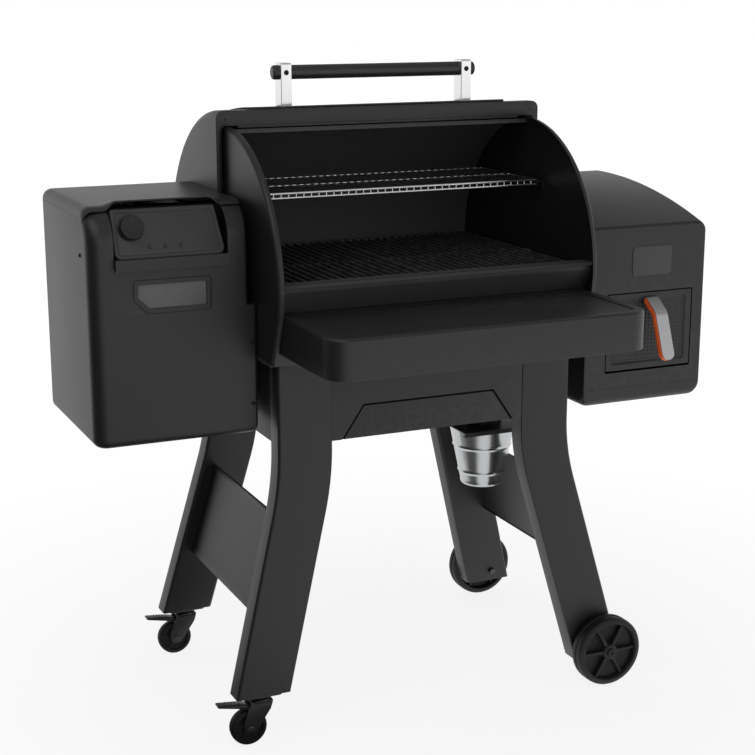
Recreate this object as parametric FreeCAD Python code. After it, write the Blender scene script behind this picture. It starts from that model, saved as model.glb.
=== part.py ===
import FreeCAD, Part
import math, os

V = FreeCAD.Vector

# A pellet smoker grill on a splayed cart.  Millimetres.  While it is built, X = 0 and Y = 0 lie midway
# between the legs, the front faces -Y and Z = 0 is the floor; place() then moves the origin to the middle
# of the overall box.

# ---- sheet and clearances
sheet = 2.0                # formed steel sheet
seat = 0.3                 # gap between two pieces that are bolted or rest on each other
run = 0.05                 # radial clearance of a shaft in its hole
play = 2.0                 # gap beside a moving panel

# ---- the chamber's length and the hopper's width lead the rest
drum_half = 345.0          # middle to the outer face of an end wall
drum_r = 295.0
hopper_width = 322.7
hopper_right = drum_half + seat
hopper_left = hopper_right + hopper_width

# ---- legs and frame
frame_top = 763.0
leg_width = 112.0
leg_depth = 42.0
leg_set = 21.0             # legs' outer faces inside the chamber's end walls
leg_inner = drum_half - leg_set - leg_width    # inner edge of a leg above its knee, from X = 0
leg_back_in = 66.0         # front legs' faces behind the drum's front
leg_front = drum_r - leg_back_in    # front face of a front leg above its knee, from Y = 0
knee_z = 520.0
knee_half = 65.0           # height of the bend above and below knee_z
splay_x = 0.262            # sideways run of the lower leg for each unit of drop
splay_y = 0.09             # fore-and-aft run for each unit of drop
leg_bend = 6.0             # outside radius between web and flange
foot_left_z = 103.0        # lower end of the two caster legs
foot_right_z = 52.0        # lower end of the two wheel legs
rail_height = 165.0        # apron and rails, down from the frame's top
rail_bottom = frame_top - rail_height
rail_flange = 14.0
recess_side = 20.0         # pressed panel of the apron: foot to each leg
recess_slope = 48.0
recess_half_top = leg_inner - recess_side - recess_slope
recess_half_bottom = leg_inner - recess_side
recess_foot = 5.0
recess_height = 64.0
recess_bottom = rail_bottom + recess_foot
recess_top = recess_bottom + recess_height
recess_depth = 0.8
brace_inset = 27.0         # from a leg's outer edge to the brace
brace_top = 445.0
brace_bottom = 246.0
brace_flange = 5.0

# ---- wheels and casters
wheel_r = 76.0
wheel_width = 40.0
wheel_out = 12.672         # axle beyond the middle of its leg
wheel_x = leg_inner + splay_x * (knee_z - wheel_r) + leg_width / 2 + wheel_out
wheel_hub_r = 17.0
wheel_web = 6.0            # thickness of the disc between rim and hub
wheel_rim = 13.0           # depth of tyre and rim
wheel_ribs = 6
wheel_gap = 1.5            # wheel to leg
axle_r = 5.0
axle_head_r = 9.0
caster_r = 37.5
caster_width = 24.0
caster_trail = 27.0
caster_hub_r = 9.0
caster_axle_r = 4.0
fork_wall = 2.5
fork_gap = 2.5             # wheel to fork cheek
fork_top = 92.0
fork_plate = 4.0
fork_stem_r = 11.0
plate_thick = 3.0
plate_half_x = 40.0
plate_half_y = 19.0
pedal_reach = 60.0         # from caster stem to the pedal's tip
pedal_width = 24.0
pedal_thick = 4.0

# ---- cooking chamber
axis_up = 136.7            # lid pivot and centre of the round end walls, above the chamber's floor
axis_z = frame_top + seat + axis_up
rim_width = 12.0           # flange turned in round each end wall
skirt_in = 45.0            # front foot of an end wall, in from its round top
skirt_y = drum_r - skirt_in
skirt_drop = 34.0          # below the pivot, where its front edge starts to slope in
skirt_z = axis_z - skirt_drop
lip_in = 10.0
lip_y = drum_r - lip_in
lip_up = 21.0
lip_z = axis_z + lip_up
lip_fold = 14.0
panel_back = 8.0           # front panel behind the end walls' front feet
panel_y = skirt_y - panel_back
roof_in = 6.0
roof_r = drum_r - roof_in
roof_front = 6.0           # front edge of the fixed roof
ledge_width = 22.0         # shelf under the grates, front and back
pan_gap = 8.0              # pan to the side rails
pan_x = leg_inner + leg_width - 2 * sheet - seat - pan_gap
pan_y = leg_front - leg_depth - 7.0
pan_rim = 10.0
pan_depth = 123.0          # below the frame's top
pan_bottom = frame_top - pan_depth
drain_in = 68.7
drain_x = pan_x - drain_in
drain_r = 42.0
drain_pad = 52.0           # half width of the pan's flat bottom
vent_half = 150.0
vent_down = 100.0          # slot's lower edge below the pivot
vent_height = 32.0
vent_z0 = axis_z - vent_down
vent_z1 = vent_z0 + vent_height

# ---- ash and grease cup
collar_drop = 109.0        # rails' plate below the pan
collar_z = pan_bottom - collar_drop
cup_hang = 4.0             # cup's rim below the plate
cup_height = 137.0
cup_top = collar_z - cup_hang
cup_bottom = cup_top - cup_height
cup_r0 = 45.0
cup_r1 = 73.0
cup_wall = 1.2
cup_rim_r = 80.0
cup_bead_r = 2.4
bead_heights = (31.0, 90.0)
cup_beads = (cup_bottom + bead_heights[0], cup_bottom + bead_heights[1])
collar_half = 87.0
collar_lip = 10.0

# ---- lid
lid_over = 32.0            # lid outside the end walls, all round
lid_gap = 11.0             # end wall to the lid's side panel
lid_r = drum_r + lid_over
lid_half = drum_half + lid_gap + sheet
lid_front = 8.0            # front face of the rim, ahead of the pivot
lid_rim = 30.0             # radial depth of the rim
lid_strip = 11.0           # width of the rim on each side
lid_overlap = 4.0          # degrees past the quarter circle at the rear edge
pivot_r = 6.0
pivot_collar_r = 12.0
pivot_head_r = 10.0
pivot_head = 2.0
ear_r = 18.0
strip_thick = 4.0
strip_in = 52.0            # handle's strip inside the lid's sides
strip_half = lid_half - strip_in
strip_taper = 22.0
strip_from = 0.6           # degrees behind the vertical
strip_to = 14.0
handle_y = 37.0
handle_up = 70.0           # bar's centre above the lid
handle_z = axis_z + lid_r + handle_up
handle_r = 13.5
post_in = 104.0            # posts inside the strip's ends
handle_x = strip_half - post_in
handle_end = 12.0          # bar beyond each post
post_width = 23.0
post_depth = 36.0
post_over = 18.0
post_top = handle_z + post_over
post_wall = 2.0

# ---- racks and fire
grate_up = 13.0            # grates' top above the pivot
grate_top = axis_z + grate_up
grate_thick = 10.0
grate_in = 39.0
grate_half_y = drum_r - grate_in
grate_bar = 8.0
grate_pitch = 18.0
grate_side_gap = 16.0      # grate to end wall
rack_up = 166.0
rack_z = axis_z + rack_up
rack_y0 = -66.0
rack_y1 = 186.0
rack_in = 11.0
rack_half = drum_half - rack_in
rack_wire = 5.0
rack_drop = 9.0            # upper front wire to lower front wire
rack_bars = 40
rack_bar_wire = 3.0
rack_rail_width = 20.0
tray_down = 29.0           # tray's high end below the grates' top
tray_fall = 18.0
tray_high = grate_top - tray_down
tray_low = tray_high - tray_fall
tray_left = 9.0            # tray to the chamber's ends
tray_right = 45.0
tray_x0 = tray_left - drum_half
tray_x1 = drum_half - tray_right
tray_in = 24.0
tray_y = grate_half_y - tray_in
tray_wall = 1.5
tray_lip = 8.0
tray_foot = 10.0
baffle_half_x = 130.0
baffle_half_y = 200.0
baffle_down = 16.0         # baffle below the tray's low end
baffle_z = tray_low - baffle_down
pot_r = 55.0
pot_wall = 3.0
pot_height = 70.0
strap_width = 40.0
auger_down = 82.0
auger_z = axis_z - auger_down
auger_r = 22.5
auger_tube_r = 27.0
auger_tube_wall = 2.0
auger_shaft_r = 7.0
auger_pitch = 44.0
auger_blade = 3.0
auger_in = 78.0            # tube's capped end inside the hopper
auger_left = auger_in - hopper_left
igniter_r = 5.0
igniter_in = 19.0          # igniter and air tube, in from the pot's radius
igniter_y = igniter_in - pot_r
igniter_down = 32.0        # below the auger
igniter_z = auger_z - igniter_down
air_r = 12.0
air_in = 13.0
air_y = pot_r - air_in
air_down = 28.0
air_z = auger_z - air_down
probe_r = 3.0
probe_y = 205.0
probe_up = 132.0
probe_z = axis_z + probe_up
probe_length = 70.0

# ---- pellet hopper
notch_gap = 4.0            # above the notch, lid's side to hopper
hopper_notch_x = lid_half + notch_gap
notch_down = 27.0
hopper_notch_z = axis_z - notch_down
hopper_y = 178.0
hopper_height = 447.0
hopper_up = 164.0          # hopper's top above the pivot
hopper_top = axis_z + hopper_up
hopper_bottom = hopper_top - hopper_height
hopper_corner = 28.0
hopper_edge = 18.0         # bottom edges
hopper_seam = 6.0          # the two right-hand corners
lid_plate = 6.0
hopper_brow = 60.0         # radius of the front's roll back into the top
hood_rise = 8.5            # raised part of the lid's front edge, over the controls
hood_front = 9.5           # how far it reaches past the rest of that edge
hood_back = 62.0           # where it has sunk into the lid, from its front
hood_left = 20.0           # its level top: in from the pod's left side
hood_right = 16.5          # and from its right side
hood_slope = 24.0          # width of its sloping sides
hood_wall = 3.0
hinge_pin_r = 2.5
hinge_out = 5.0            # pin centre behind the hopper's back
knuckle_r = 5.0
knuckle_length = 40.0
knuckle_x = 90.0           # hinges to either side of the lid's middle
pod_in = 50.0              # pod's left side inside the hopper's
pod_width = 212.5
pod_slant = 16.5           # its right side leans in by this at the top
pod_height = 91.0
pod_proud = 1.0            # its lower front edge, ahead of the hopper
pod_lean = 26.765
pod_down = 89.0            # its underside below the hopper's top
pod_x0 = pod_in - hopper_left
pod_x1 = pod_x0 + pod_width
pod_bottom = hopper_top - pod_down
pod_top = pod_bottom + pod_height
pod_front_low = -hopper_y - pod_proud
pod_front_high = pod_front_low + pod_lean
pod_depth = 43.0
pod_back = pod_front_low + pod_depth
pod_wall = 2.5
pod_well = 5.0             # open well beside the pod, on its right
knob_in = 35.0             # knob's centre from the pod's left side and underside
knob_up = 56.0
knob_x = pod_x0 + knob_in
knob_z = pod_bottom + knob_up
knob_r = 24.5
knob_height = 17.0
knob_shaft_r = 3.0
button_in = 68.0
button_pitch = 30.0
button_up = 21.0
button_x = tuple(pod_x0 + button_in + button_pitch * i for i in range(3))
button_z = pod_bottom + button_up
button_r = 3.5
button_out = 1.6
button_travel = 1.0
window_in = 93.0           # from the hopper's left side
window_up = 263.5          # from its floor
window_width = 131.0
window_height = 46.0
window_x0 = window_in - hopper_left
window_x1 = window_x0 + window_width
window_z0 = hopper_bottom + window_up
window_z1 = window_z0 + window_height
window_cut = 22.0          # slanted lower left corner
window_frame = 9.0
glass_thick = 3.0
bin_side = 28.0            # bin's mouth to the hopper's sides and back
bin_gap = 31.0             # and to the pod's back
bin_x0 = bin_side - hopper_left
bin_x1 = -hopper_notch_x - bin_side
bin_y0 = pod_back + bin_gap
bin_y1 = hopper_y - bin_side
neck_in = 108.0
neck_length = 60.0
neck_up = 72.0             # top of the neck above the auger
neck_x0 = neck_in - hopper_left
neck_x1 = neck_x0 + neck_length
neck_y = 22.0
neck_z = auger_z + neck_up
bin_wall = 1.5
bin_straight = 30.0        # upright part under its mouth
guard_wire = 4.0
guard_bars = 8
guard_drop = 60.0
guard_side = 45.0          # outer bars to the bin's walls
guard_end = 16.0
motor_size = 64.0
motor_length = 62.0
fan_in = 198.0
fan_up = 98.0
fan_x = fan_in - hopper_left
fan_z = hopper_bottom + fan_up
fan_r = 52.0
fan_depth = 34.0
fan_blades = 9
inlet_width = 48.0
inlet_height = 28.0
inlet_in = 68.0
inlet_up = 73.0
inlet_x = inlet_in - hopper_left
inlet_z = hopper_bottom + inlet_up

# ---- side cabinet
cabinet_gap = 13.0         # lid's side to cabinet
cabinet_width = 294.0
cabinet_left = lid_half + cabinet_gap
cabinet_right = cabinet_left + cabinet_width
cabinet_y = 210.0
cabinet_up = 77.0          # top of the front above the pivot
cabinet_height = 382.0     # of the front
cabinet_fall = 67.0        # back to front
cabinet_front_top = axis_z + cabinet_up
cabinet_bottom = cabinet_front_top - cabinet_height
cabinet_back_top = cabinet_front_top + cabinet_fall
cabinet_mid_rise = 19.0    # how far the top bows above the straight line from front to back
cabinet_corner = 22.0
cabinet_edge = 20.0
door_in = 53.0             # from the cabinet's left side and floor
door_up = 74.0
door_width = 211.0
door_height = 165.0
door_x0 = cabinet_left + door_in
door_x1 = door_x0 + door_width
door_z0 = cabinet_bottom + door_up
door_z1 = door_z0 + door_height
door_fold = 14.0
door_pin_r = 3.0
door_pin_back = 9.0        # pin centre behind the door's face
door_pin_up = 7.0          # pin centre above the door's lower edge
lever_width = 33.0
lever_plate = 3.0
lever_trim = 4.0
lever_back = 5.0
lever_bends = ((4.6, 10.0), (42.0, 37.0), (76.0, 126.0))   # out from the door, and below its top
lever_points = tuple((out, door_z1 - down) for out, down in lever_bends)
lever_boss = 16.0          # height of the lever's foot on the door
spacer_r = 12.0
spacer_y = 150.0
spacer_down = (110.0, 60.0)
spacer_z = tuple(axis_z - down for down in spacer_down)

# ---- front shelf
shelf_half = drum_half - rim_width - play
shelf_gap = 3.0            # behind the shelf, to the chamber's front
shelf_depth = 270.0
shelf_back = panel_y + shelf_gap
shelf_front = shelf_back + shelf_depth
shelf_height = 68.0
shelf_top = skirt_z
shelf_bottom = shelf_top - shelf_height
shelf_corner = 45.0
dish_margin = 20.0
dish_depth = 3.0
arm_in = 141.0             # arms inside the shelf's sides
arm_x = shelf_half - arm_in
arm_thick = 3.0
arm_back = 45.0            # from the shelf's front edge
arm_front = shelf_front - arm_back
arm_height = 55.0
arm_flange = 26.0

# ---- rear exhaust and fasteners
hood_out = 30.0
hood_height = 66.0
screw_r = 4.0
screw_head = 2.2
screw_down = 84.0          # side screw below the hopper's top
front_screw_down = 100.0   # upper front screw below the pivot
front_screw_up = 61.0      # lower one above the bottom

ledge_z = grate_top - grate_thick - seat - sheet
hopper_lid_top = hopper_top + seat + lid_plate
hopper_lid_front = -hopper_y + hopper_brow - 1.5
collar_lip_z = cup_top - cup_wall - seat - sheet

origin = V((hopper_left + seat + screw_head - cabinet_right) / 2, (shelf_front - lid_r) / 2, 0)


def box(x0, x1, y0, y1, z0, z1):
    return Part.makeBox(x1 - x0, y1 - y0, z1 - z0, V(x0, y0, z0))


def rod(start, direction, r, length):
    return Part.makeCylinder(r, length, V(*start), V(*direction))


def tube(start, direction, r_out, r_in, length):
    return rod(start, direction, r_out, length).cut(rod(start, direction, r_in, length))


def prism_x(points, x0, x1):
    """Extrude a closed outline of (y, z) points along X."""
    wire = Part.makePolygon([V(x0, y, z) for y, z in points] + [V(x0, *points[0])])
    return Part.Face(wire).extrude(V(x1 - x0, 0, 0))


def prism_y(points, y0, y1):
    """Extrude a closed outline of (x, z) points along Y."""
    pts = [V(x, y0, z) for x, z in points]
    return Part.Face(Part.makePolygon(pts + pts[:1])).extrude(V(0, y1 - y0, 0))


def prism_z(points, z0, z1):
    """Extrude a closed outline of (x, y) points along Z."""
    pts = [V(x, y, z0) for x, y in points]
    return Part.Face(Part.makePolygon(pts + pts[:1])).extrude(V(0, 0, z1 - z0))


def join(*shapes):
    body = shapes[0].fuse(list(shapes[1:])) if len(shapes) > 1 else shapes[0]
    return body.removeSplitter()


def mirror_x(shape):
    return shape.mirror(V(0, 0, 0), V(1, 0, 0))


def mirror_y(shape):
    return shape.mirror(V(0, 0, 0), V(0, 1, 0))


def vertical_edges(shape, test):
    found = []
    for edge in shape.Edges:
        a, b = edge.firstVertex().Point, edge.lastVertex().Point
        if abs(a.x - b.x) < 1e-6 and abs(a.y - b.y) < 1e-6 and test(a.x, a.y, min(a.z, b.z)):
            found.append(edge)
    return found


def edges_at(shape, test):
    """Edges whose centre passes the test of (x, y, z)."""
    return [e for e in shape.Edges if test(e.CenterOfMass.x, e.CenterOfMass.y, e.CenterOfMass.z)]


def rounded_block(x0, x1, y0, y1, z0, z1, r):
    block = box(x0, x1, y0, y1, z0, z1)
    return block.makeFillet(r, vertical_edges(block, lambda x, y, z: True))


# ---------------------------------------------------------------- legs and frame

def knee(z):
    """Drop below the knee, with a smooth bend from knee_z + knee_half to knee_z - knee_half."""
    top = knee_z + knee_half
    if z >= top:
        return 0.0
    if z > knee_z - knee_half:
        return (top - z) ** 2 / (4 * knee_half)
    return knee_z - z


def leg_inner_x(z):
    return leg_inner + splay_x * knee(z)


def leg_front_y(z):
    return leg_front + splay_y * knee(z)


def leg_section(z, front):
    """Channel section of a right-hand leg at height z: web to the front, both flanges to the back."""
    x0 = leg_inner_x(z)
    x1 = x0 + leg_width
    y = -leg_front_y(z) if front else leg_front_y(z) - leg_depth
    b, t, d = leg_bend, sheet, leg_depth
    k = b * (1 - math.sqrt(0.5))
    outer = [(x0, y + d), (x0, y + b), (x0 + k, y + k), (x0 + b, y),
             (x1 - b, y), (x1 - k, y + k), (x1, y + b), (x1, y + d)]
    inner = [(x1 - t, y + d), (x1 - t, y + b), (x1 - k - 0.7 * t, y + k + 0.7 * t), (x1 - b, y + t),
             (x0 + b, y + t), (x0 + k + 0.7 * t, y + k + 0.7 * t), (x0 + t, y + b), (x0 + t, y + d)]
    points = [V(px, py, z) for px, py in outer + inner]
    return Part.makePolygon(points + points[:1])


def leg_heights(foot):
    bend_steps = 6
    step = 2 * knee_half / bend_steps
    bend = [knee_z + knee_half - step * i for i in range(bend_steps + 1)]
    return [frame_top] + bend + [foot]


def leg(front, foot):
    wires = [leg_section(z, front) for z in leg_heights(foot)]
    return Part.makeLoft(wires, True, True)


def wheel_leg(front):
    body = leg(front, foot_right_z)
    return body.cut(rod((wheel_x, -leg_front * 2, wheel_r), (0, 1, 0), axle_r + seat, leg_front * 4))


def caster_leg(front):
    """A left leg: the right-hand shape with a foot plate, mirrored."""
    return mirror_x(join(leg(front, foot_left_z), foot_tab(front)))


def foot_tab(front):
    """Closes a caster leg's lower end and carries the caster plate."""
    x0 = leg_inner_x(foot_left_z) + 1
    y = -leg_front_y(foot_left_z) if front else leg_front_y(foot_left_z) - leg_depth
    return box(x0, x0 + leg_width - 2, y + 1, y + leg_depth, foot_left_z, foot_left_z + plate_thick)


def front_apron():
    x = leg_inner - seat
    y = -leg_front + 0.5
    panel = box(-x, x, y, y + sheet, rail_bottom, frame_top)
    lower = box(-x, x, y, y + rail_flange, rail_bottom, rail_bottom + sheet)
    upper = box(-x, x, y, y + rail_flange, frame_top - sheet, frame_top)
    outline = [(-recess_half_bottom, recess_bottom), (-recess_half_top, recess_top),
               (recess_half_top, recess_top), (recess_half_bottom, recess_bottom)]
    pocket = prism_y(outline, y - 1, y + recess_depth)
    return join(panel, lower, upper).cut(pocket)


def frame_rails():
    """Apron between the front legs, rear rail between the back legs, and a rail on each side."""
    x = leg_inner - seat
    y = leg_front - leg_depth + 0.5
    rear = join(box(-x, x, y, y + sheet, rail_bottom, frame_top),
                box(-x, x, y, y + rail_flange, rail_bottom, rail_bottom + sheet))
    side_x = leg_inner + leg_width - sheet - seat
    side_y0 = -leg_front + leg_bend + seat
    side_y1 = leg_front - leg_depth - seat
    side = join(box(side_x - sheet, side_x, side_y0, side_y1, rail_bottom, frame_top),
                box(side_x - rail_flange * 0.5, side_x, side_y0, side_y1, rail_bottom, rail_bottom + sheet))
    return Part.makeCompound([front_apron(), rear, side, mirror_x(side)])


def brace_x(z):
    return leg_inner_x(z) + leg_width - brace_inset


def brace_slice(z, x_in, x_out):
    """Rectangle of a brace at height z, from inside the front leg to the face of the back leg."""
    y0 = -leg_front_y(z) + sheet + 2 * seat
    y1 = leg_front_y(z) - leg_depth - 2 * seat
    x = brace_x(z)
    points = [V(x - x_in, y0, z), V(x - x_out, y0, z), V(x - x_out, y1, z), V(x - x_in, y1, z)]
    return Part.makePolygon(points + points[:1])


def brace():
    web = Part.makeLoft([brace_slice(brace_bottom, sheet, 0), brace_slice(brace_top, sheet, 0)], True, True)
    lower = Part.makeLoft([brace_slice(brace_bottom, brace_flange, 0),
                           brace_slice(brace_bottom + sheet, brace_flange, 0)], True, True)
    upper = Part.makeLoft([brace_slice(brace_top - sheet, brace_flange, 0),
                           brace_slice(brace_top, brace_flange, 0)], True, True)
    return join(web, lower, upper)


def side_braces():
    right = brace()
    return Part.makeCompound([right, mirror_x(right)])


# ---------------------------------------------------------------- casters and wheels

def caster_y(front):
    y = leg_front_y(foot_left_z) - leg_depth / 2
    return -y if front else y


caster_x = -(leg_inner_x(foot_left_z) + leg_width / 2)


def caster_plates():
    plates = []
    for front in (True, False):
        y = caster_y(front)
        plate = box(caster_x - plate_half_x, caster_x + plate_half_x, y - plate_half_y, y + plate_half_y,
                    foot_left_z - seat - plate_thick, foot_left_z - seat)
        stem = rod((caster_x, y, fork_top - fork_plate - 1.5), (0, 0, 1), fork_stem_r - 3 - run,
                   foot_left_z - seat - fork_top + fork_plate + 1.5)
        nut = rod((caster_x, y, fork_top - fork_plate - 4), (0, 0, 1), fork_stem_r, 3.0)
        plates.append(join(plate, stem, nut))
    return Part.makeCompound(plates)


def caster_fork(front):
    """Crown, two cheeks that rake back to the axle, and the axle with its two heads."""
    y = caster_y(front)
    axle_x = caster_x - caster_trail
    inner = caster_width / 2 + fork_gap
    outer = inner + fork_wall
    crown = box(caster_x - 24, caster_x + 22, y - outer, y + outer, fork_top - fork_plate, fork_top)
    race = rod((caster_x, y, fork_top), (0, 0, 1), fork_stem_r + 8, foot_left_z - seat - plate_thick
               - fork_top - seat)
    outline = [(caster_x - 24, fork_top), (caster_x + 22, fork_top), (caster_x + 16, fork_top - 18),
               (axle_x + 11, caster_r - 9), (axle_x - 11, caster_r - 9), (axle_x - 13, caster_r + 14)]
    cheeks = [prism_y(outline, y + a, y + b) for a, b in ((inner, outer), (-outer, -inner))]
    axle = rod((axle_x, y - outer, caster_r), (0, 1, 0), caster_axle_r, 2 * outer)
    heads = [rod((axle_x, y + s * outer, caster_r), (0, s, 0), caster_axle_r + 3, 3.0) for s in (1, -1)]
    body = join(crown, race, *cheeks, axle, *heads)
    bore = rod((caster_x, y, fork_top - fork_plate - 1), (0, 0, 1), fork_stem_r - 3, 40)
    pin = rod((pedal_pin_x, y - outer - 2, pedal_pin_z), (0, 1, 0), 2.5, 2 * outer + 4)
    return join(body.cut(bore), pin)


pedal_pin_x = caster_x - caster_trail - 2
pedal_pin_z = caster_r + caster_r + 5.5


def caster_wheel(front):
    y = caster_y(front)
    x = caster_x - caster_trail
    half = caster_width / 2
    tyre = rod((x, y - half, caster_r), (0, 1, 0), caster_r, caster_width)
    tyre = tyre.makeFillet(4.0, [e for e in tyre.Edges if e.Length > 2 * caster_r and len(e.Vertexes) == 1])
    for s in (1, -1):
        ring = tube((x, y + s * (half - 4), caster_r), (0, s, 0), caster_r - 8, caster_hub_r + 3, 5)
        tyre = tyre.cut(ring)
    return tyre.cut(rod((x, y - half - 1, caster_r), (0, 1, 0), caster_axle_r + run, caster_width + 2))


def caster_pedal(front):
    """Brake pedal on its pin: a curved tread over the wheel that reaches past it."""
    y = caster_y(front)
    half = pedal_width / 2
    inner = caster_width / 2 + fork_gap - 0.4
    tip = caster_x - pedal_reach - 32
    z = pedal_pin_z
    outline = [(pedal_pin_x + 8, z - 3.5), (pedal_pin_x + 8, z + 4), (pedal_pin_x - 14, z + 9),
               (tip + 6, z + 14), (tip, z + 14), (tip, z + 14 - pedal_thick), (pedal_pin_x - 20, z + 1),
               (pedal_pin_x - 10, z - 3.5)]
    tread = prism_y(outline, y - half, y + half)
    barrel = rod((pedal_pin_x, y - inner, z), (0, 1, 0), 4.4, 2 * inner)
    return join(tread, barrel).cut(rod((pedal_pin_x, y - inner - 1, z), (0, 1, 0), 2.5 + run, 2 * inner + 2))


def wheel_span(front):
    """Y of a wheel's outer face and the direction from there to its inner face."""
    if front:
        inner = -leg_front_y(foot_right_z) - wheel_gap
        return inner - wheel_width, 1
    inner = leg_front_y(foot_right_z) + wheel_gap
    return inner + wheel_width, -1


def cart_wheel(front):
    """Moulded wheel: treaded rim, thin disc with ribs, round hub."""
    y, s = wheel_span(front)
    start, way = (wheel_x, y, wheel_r), (0, s, 0)
    rim = tube(start, way, wheel_r, wheel_r - wheel_rim, wheel_width)
    disc_y = y + s * (wheel_width - wheel_web) / 2
    disc = tube((wheel_x, disc_y, wheel_r), way, wheel_r - wheel_rim + 1, wheel_hub_r - 1, wheel_web)
    hub = rod(start, way, wheel_hub_r, wheel_width)
    ribs = []
    for i in range(wheel_ribs):
        rib = box(wheel_hub_r - 3, wheel_r - wheel_rim + 1, -2, 2, -wheel_width / 2 + 3, wheel_width / 2 - 3)
        rib.rotate(V(0, 0, 0), V(0, 0, 1), 30 + 360 / wheel_ribs * i)
        rib.rotate(V(0, 0, 0), V(1, 0, 0), 90)
        rib.translate(V(wheel_x, y + s * wheel_width / 2, wheel_r))
        ribs.append(rib)
    groove = tube((wheel_x, y + s * (wheel_width / 2 - 2), wheel_r), way, wheel_r + 1, wheel_r - 2.5, 4)
    return join(rim, disc, hub, *ribs).cut(groove).cut(rod(start, way, axle_r + run, wheel_width))


def axle_bolts():
    """One bolt through each wheel and its leg, with a head outside, a spacer and a nut inside."""
    bolts = []
    for front in (True, False):
        y, s = wheel_span(front)
        web = -leg_front_y(wheel_r) if front else leg_front_y(wheel_r) - leg_depth
        lean = splay_y * (axle_r + 3)
        inner = web + sheet + lean if front else web - lean
        head = rod((wheel_x, y - s * seat, wheel_r), (0, -s, 0), axle_head_r, 4)
        length = abs(inner - y) + 12
        shank = rod((wheel_x, y - s * seat, wheel_r), (0, s, 0), axle_r, length)
        nut = rod((wheel_x, inner + s * seat, wheel_r), (0, s, 0), axle_head_r - 1, 7)
        parts = [head, shank, nut]
        if not front:
            gap_end = leg_front_y(wheel_r) - leg_depth + sheet + lean + seat
            parts.append(rod((wheel_x, gap_end, wheel_r), (0, 1, 0), axle_head_r,
                             y - wheel_width - seat - gap_end))
        bolts.append(join(*parts))
    return Part.makeCompound(bolts)


# ---------------------------------------------------------------- cooking chamber

body_bottom = frame_top + seat


def drum_outline(r, front, foot, slope_z, bottom):
    """Closed wire in the YZ plane: round top, straight back, front edge that slopes in below slope_z."""
    arc = Part.Arc(V(0, -r, axis_z), V(0, 0, axis_z + r), V(0, r, axis_z)).toShape()
    points = [V(0, r, axis_z), V(0, r, bottom), V(0, -foot, bottom), V(0, -front, slope_z), V(0, -r, axis_z)]
    return Part.Wire([arc] + Part.makePolygon(points).Edges)


def end_wall(side):
    """Sheet end with a turned-in rim, the lid's pivot hole and the rail of the warming rack."""
    outer = Part.Face(drum_outline(drum_r, drum_r - 3, skirt_y, skirt_z, body_bottom))
    inner = Part.Face(drum_outline(drum_r - sheet, drum_r - 3 - sheet, skirt_y - sheet, skirt_z,
                                   body_bottom + sheet))
    plate = outer.extrude(V(sheet, 0, 0))
    rim = outer.extrude(V(rim_width, 0, 0)).cut(inner.extrude(V(rim_width, 0, 0)))
    floor_gap = box(sheet, rim_width + 1, -panel_y - seat, drum_r - sheet, body_bottom - 1,
                    body_bottom + sheet + seat)
    rim = rim.cut(floor_gap)
    wall = join(plate, rim)
    wall.translate(V(-drum_half, 0, 0))
    rail = box(-drum_half + sheet, -drum_half + sheet + rack_rail_width, rack_y0 - 8, rack_y1 + 8,
               rack_rail_z - sheet, rack_rail_z)
    web = box(-drum_half + sheet, -drum_half + 2 * sheet, rack_y0 - 8, rack_y1 + 8, rack_rail_z - 16,
              rack_rail_z)
    wall = join(wall, rail, web)
    cuts = [rod((-drum_half - 1, 0, axis_z), (1, 0, 0), pivot_r + run, sheet + 2)]
    if side == "left":
        cuts.append(rod((-drum_half - 1, 0, auger_z), (1, 0, 0), auger_tube_r + seat, sheet + 2))
        cuts.append(rod((-drum_half - 1, igniter_y, igniter_z), (1, 0, 0), igniter_r + seat, sheet + 2))
        cuts.append(rod((-drum_half - 1, air_y, air_z), (1, 0, 0), air_r + seat, sheet + 2))
        cuts.append(rod((-drum_half - 1, probe_y, probe_z), (1, 0, 0), probe_r + 1, sheet + 2))
    for cut in cuts:
        wall = wall.cut(cut)
    return wall if side == "left" else mirror_x(wall)


rack_rail_z = rack_z - rack_wire / 2 - seat


def body_profile():
    """Thin open section of the chamber: folded lip, sloping front, floor, back and rear half of the roof."""
    t = sheet
    front_out = [V(0, -lip_y + lip_fold, lip_z), V(0, -lip_y, lip_z), V(0, -panel_y, skirt_z),
                 V(0, -panel_y, body_bottom), V(0, roof_r, body_bottom), V(0, roof_r, axis_z)]
    back_in = [V(0, roof_r - t, axis_z), V(0, roof_r - t, body_bottom + t),
               V(0, -panel_y + t, body_bottom + t),
               V(0, -panel_y + t, skirt_z + 0.6), V(0, -lip_y + 1.3 * t, lip_z - t),
               V(0, -lip_y + lip_fold, lip_z - t), V(0, -lip_y + lip_fold, lip_z)]
    end_angle = math.acos(roof_front / roof_r)
    mid = end_angle / 2

    def on(r, angle):
        return V(0, r * math.cos(angle), axis_z + r * math.sin(angle))

    outer_arc = Part.Arc(on(roof_r, 0), on(roof_r, mid), on(roof_r, end_angle)).toShape()
    inner_arc = Part.Arc(on(roof_r - t, end_angle), on(roof_r - t, mid), on(roof_r - t, 0)).toShape()
    joint = Part.makeLine(on(roof_r, end_angle), on(roof_r - t, end_angle))
    edges = Part.makePolygon(front_out).Edges + [outer_arc, joint, inner_arc] + Part.makePolygon(back_in).Edges
    return Part.Wire(edges)


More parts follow.
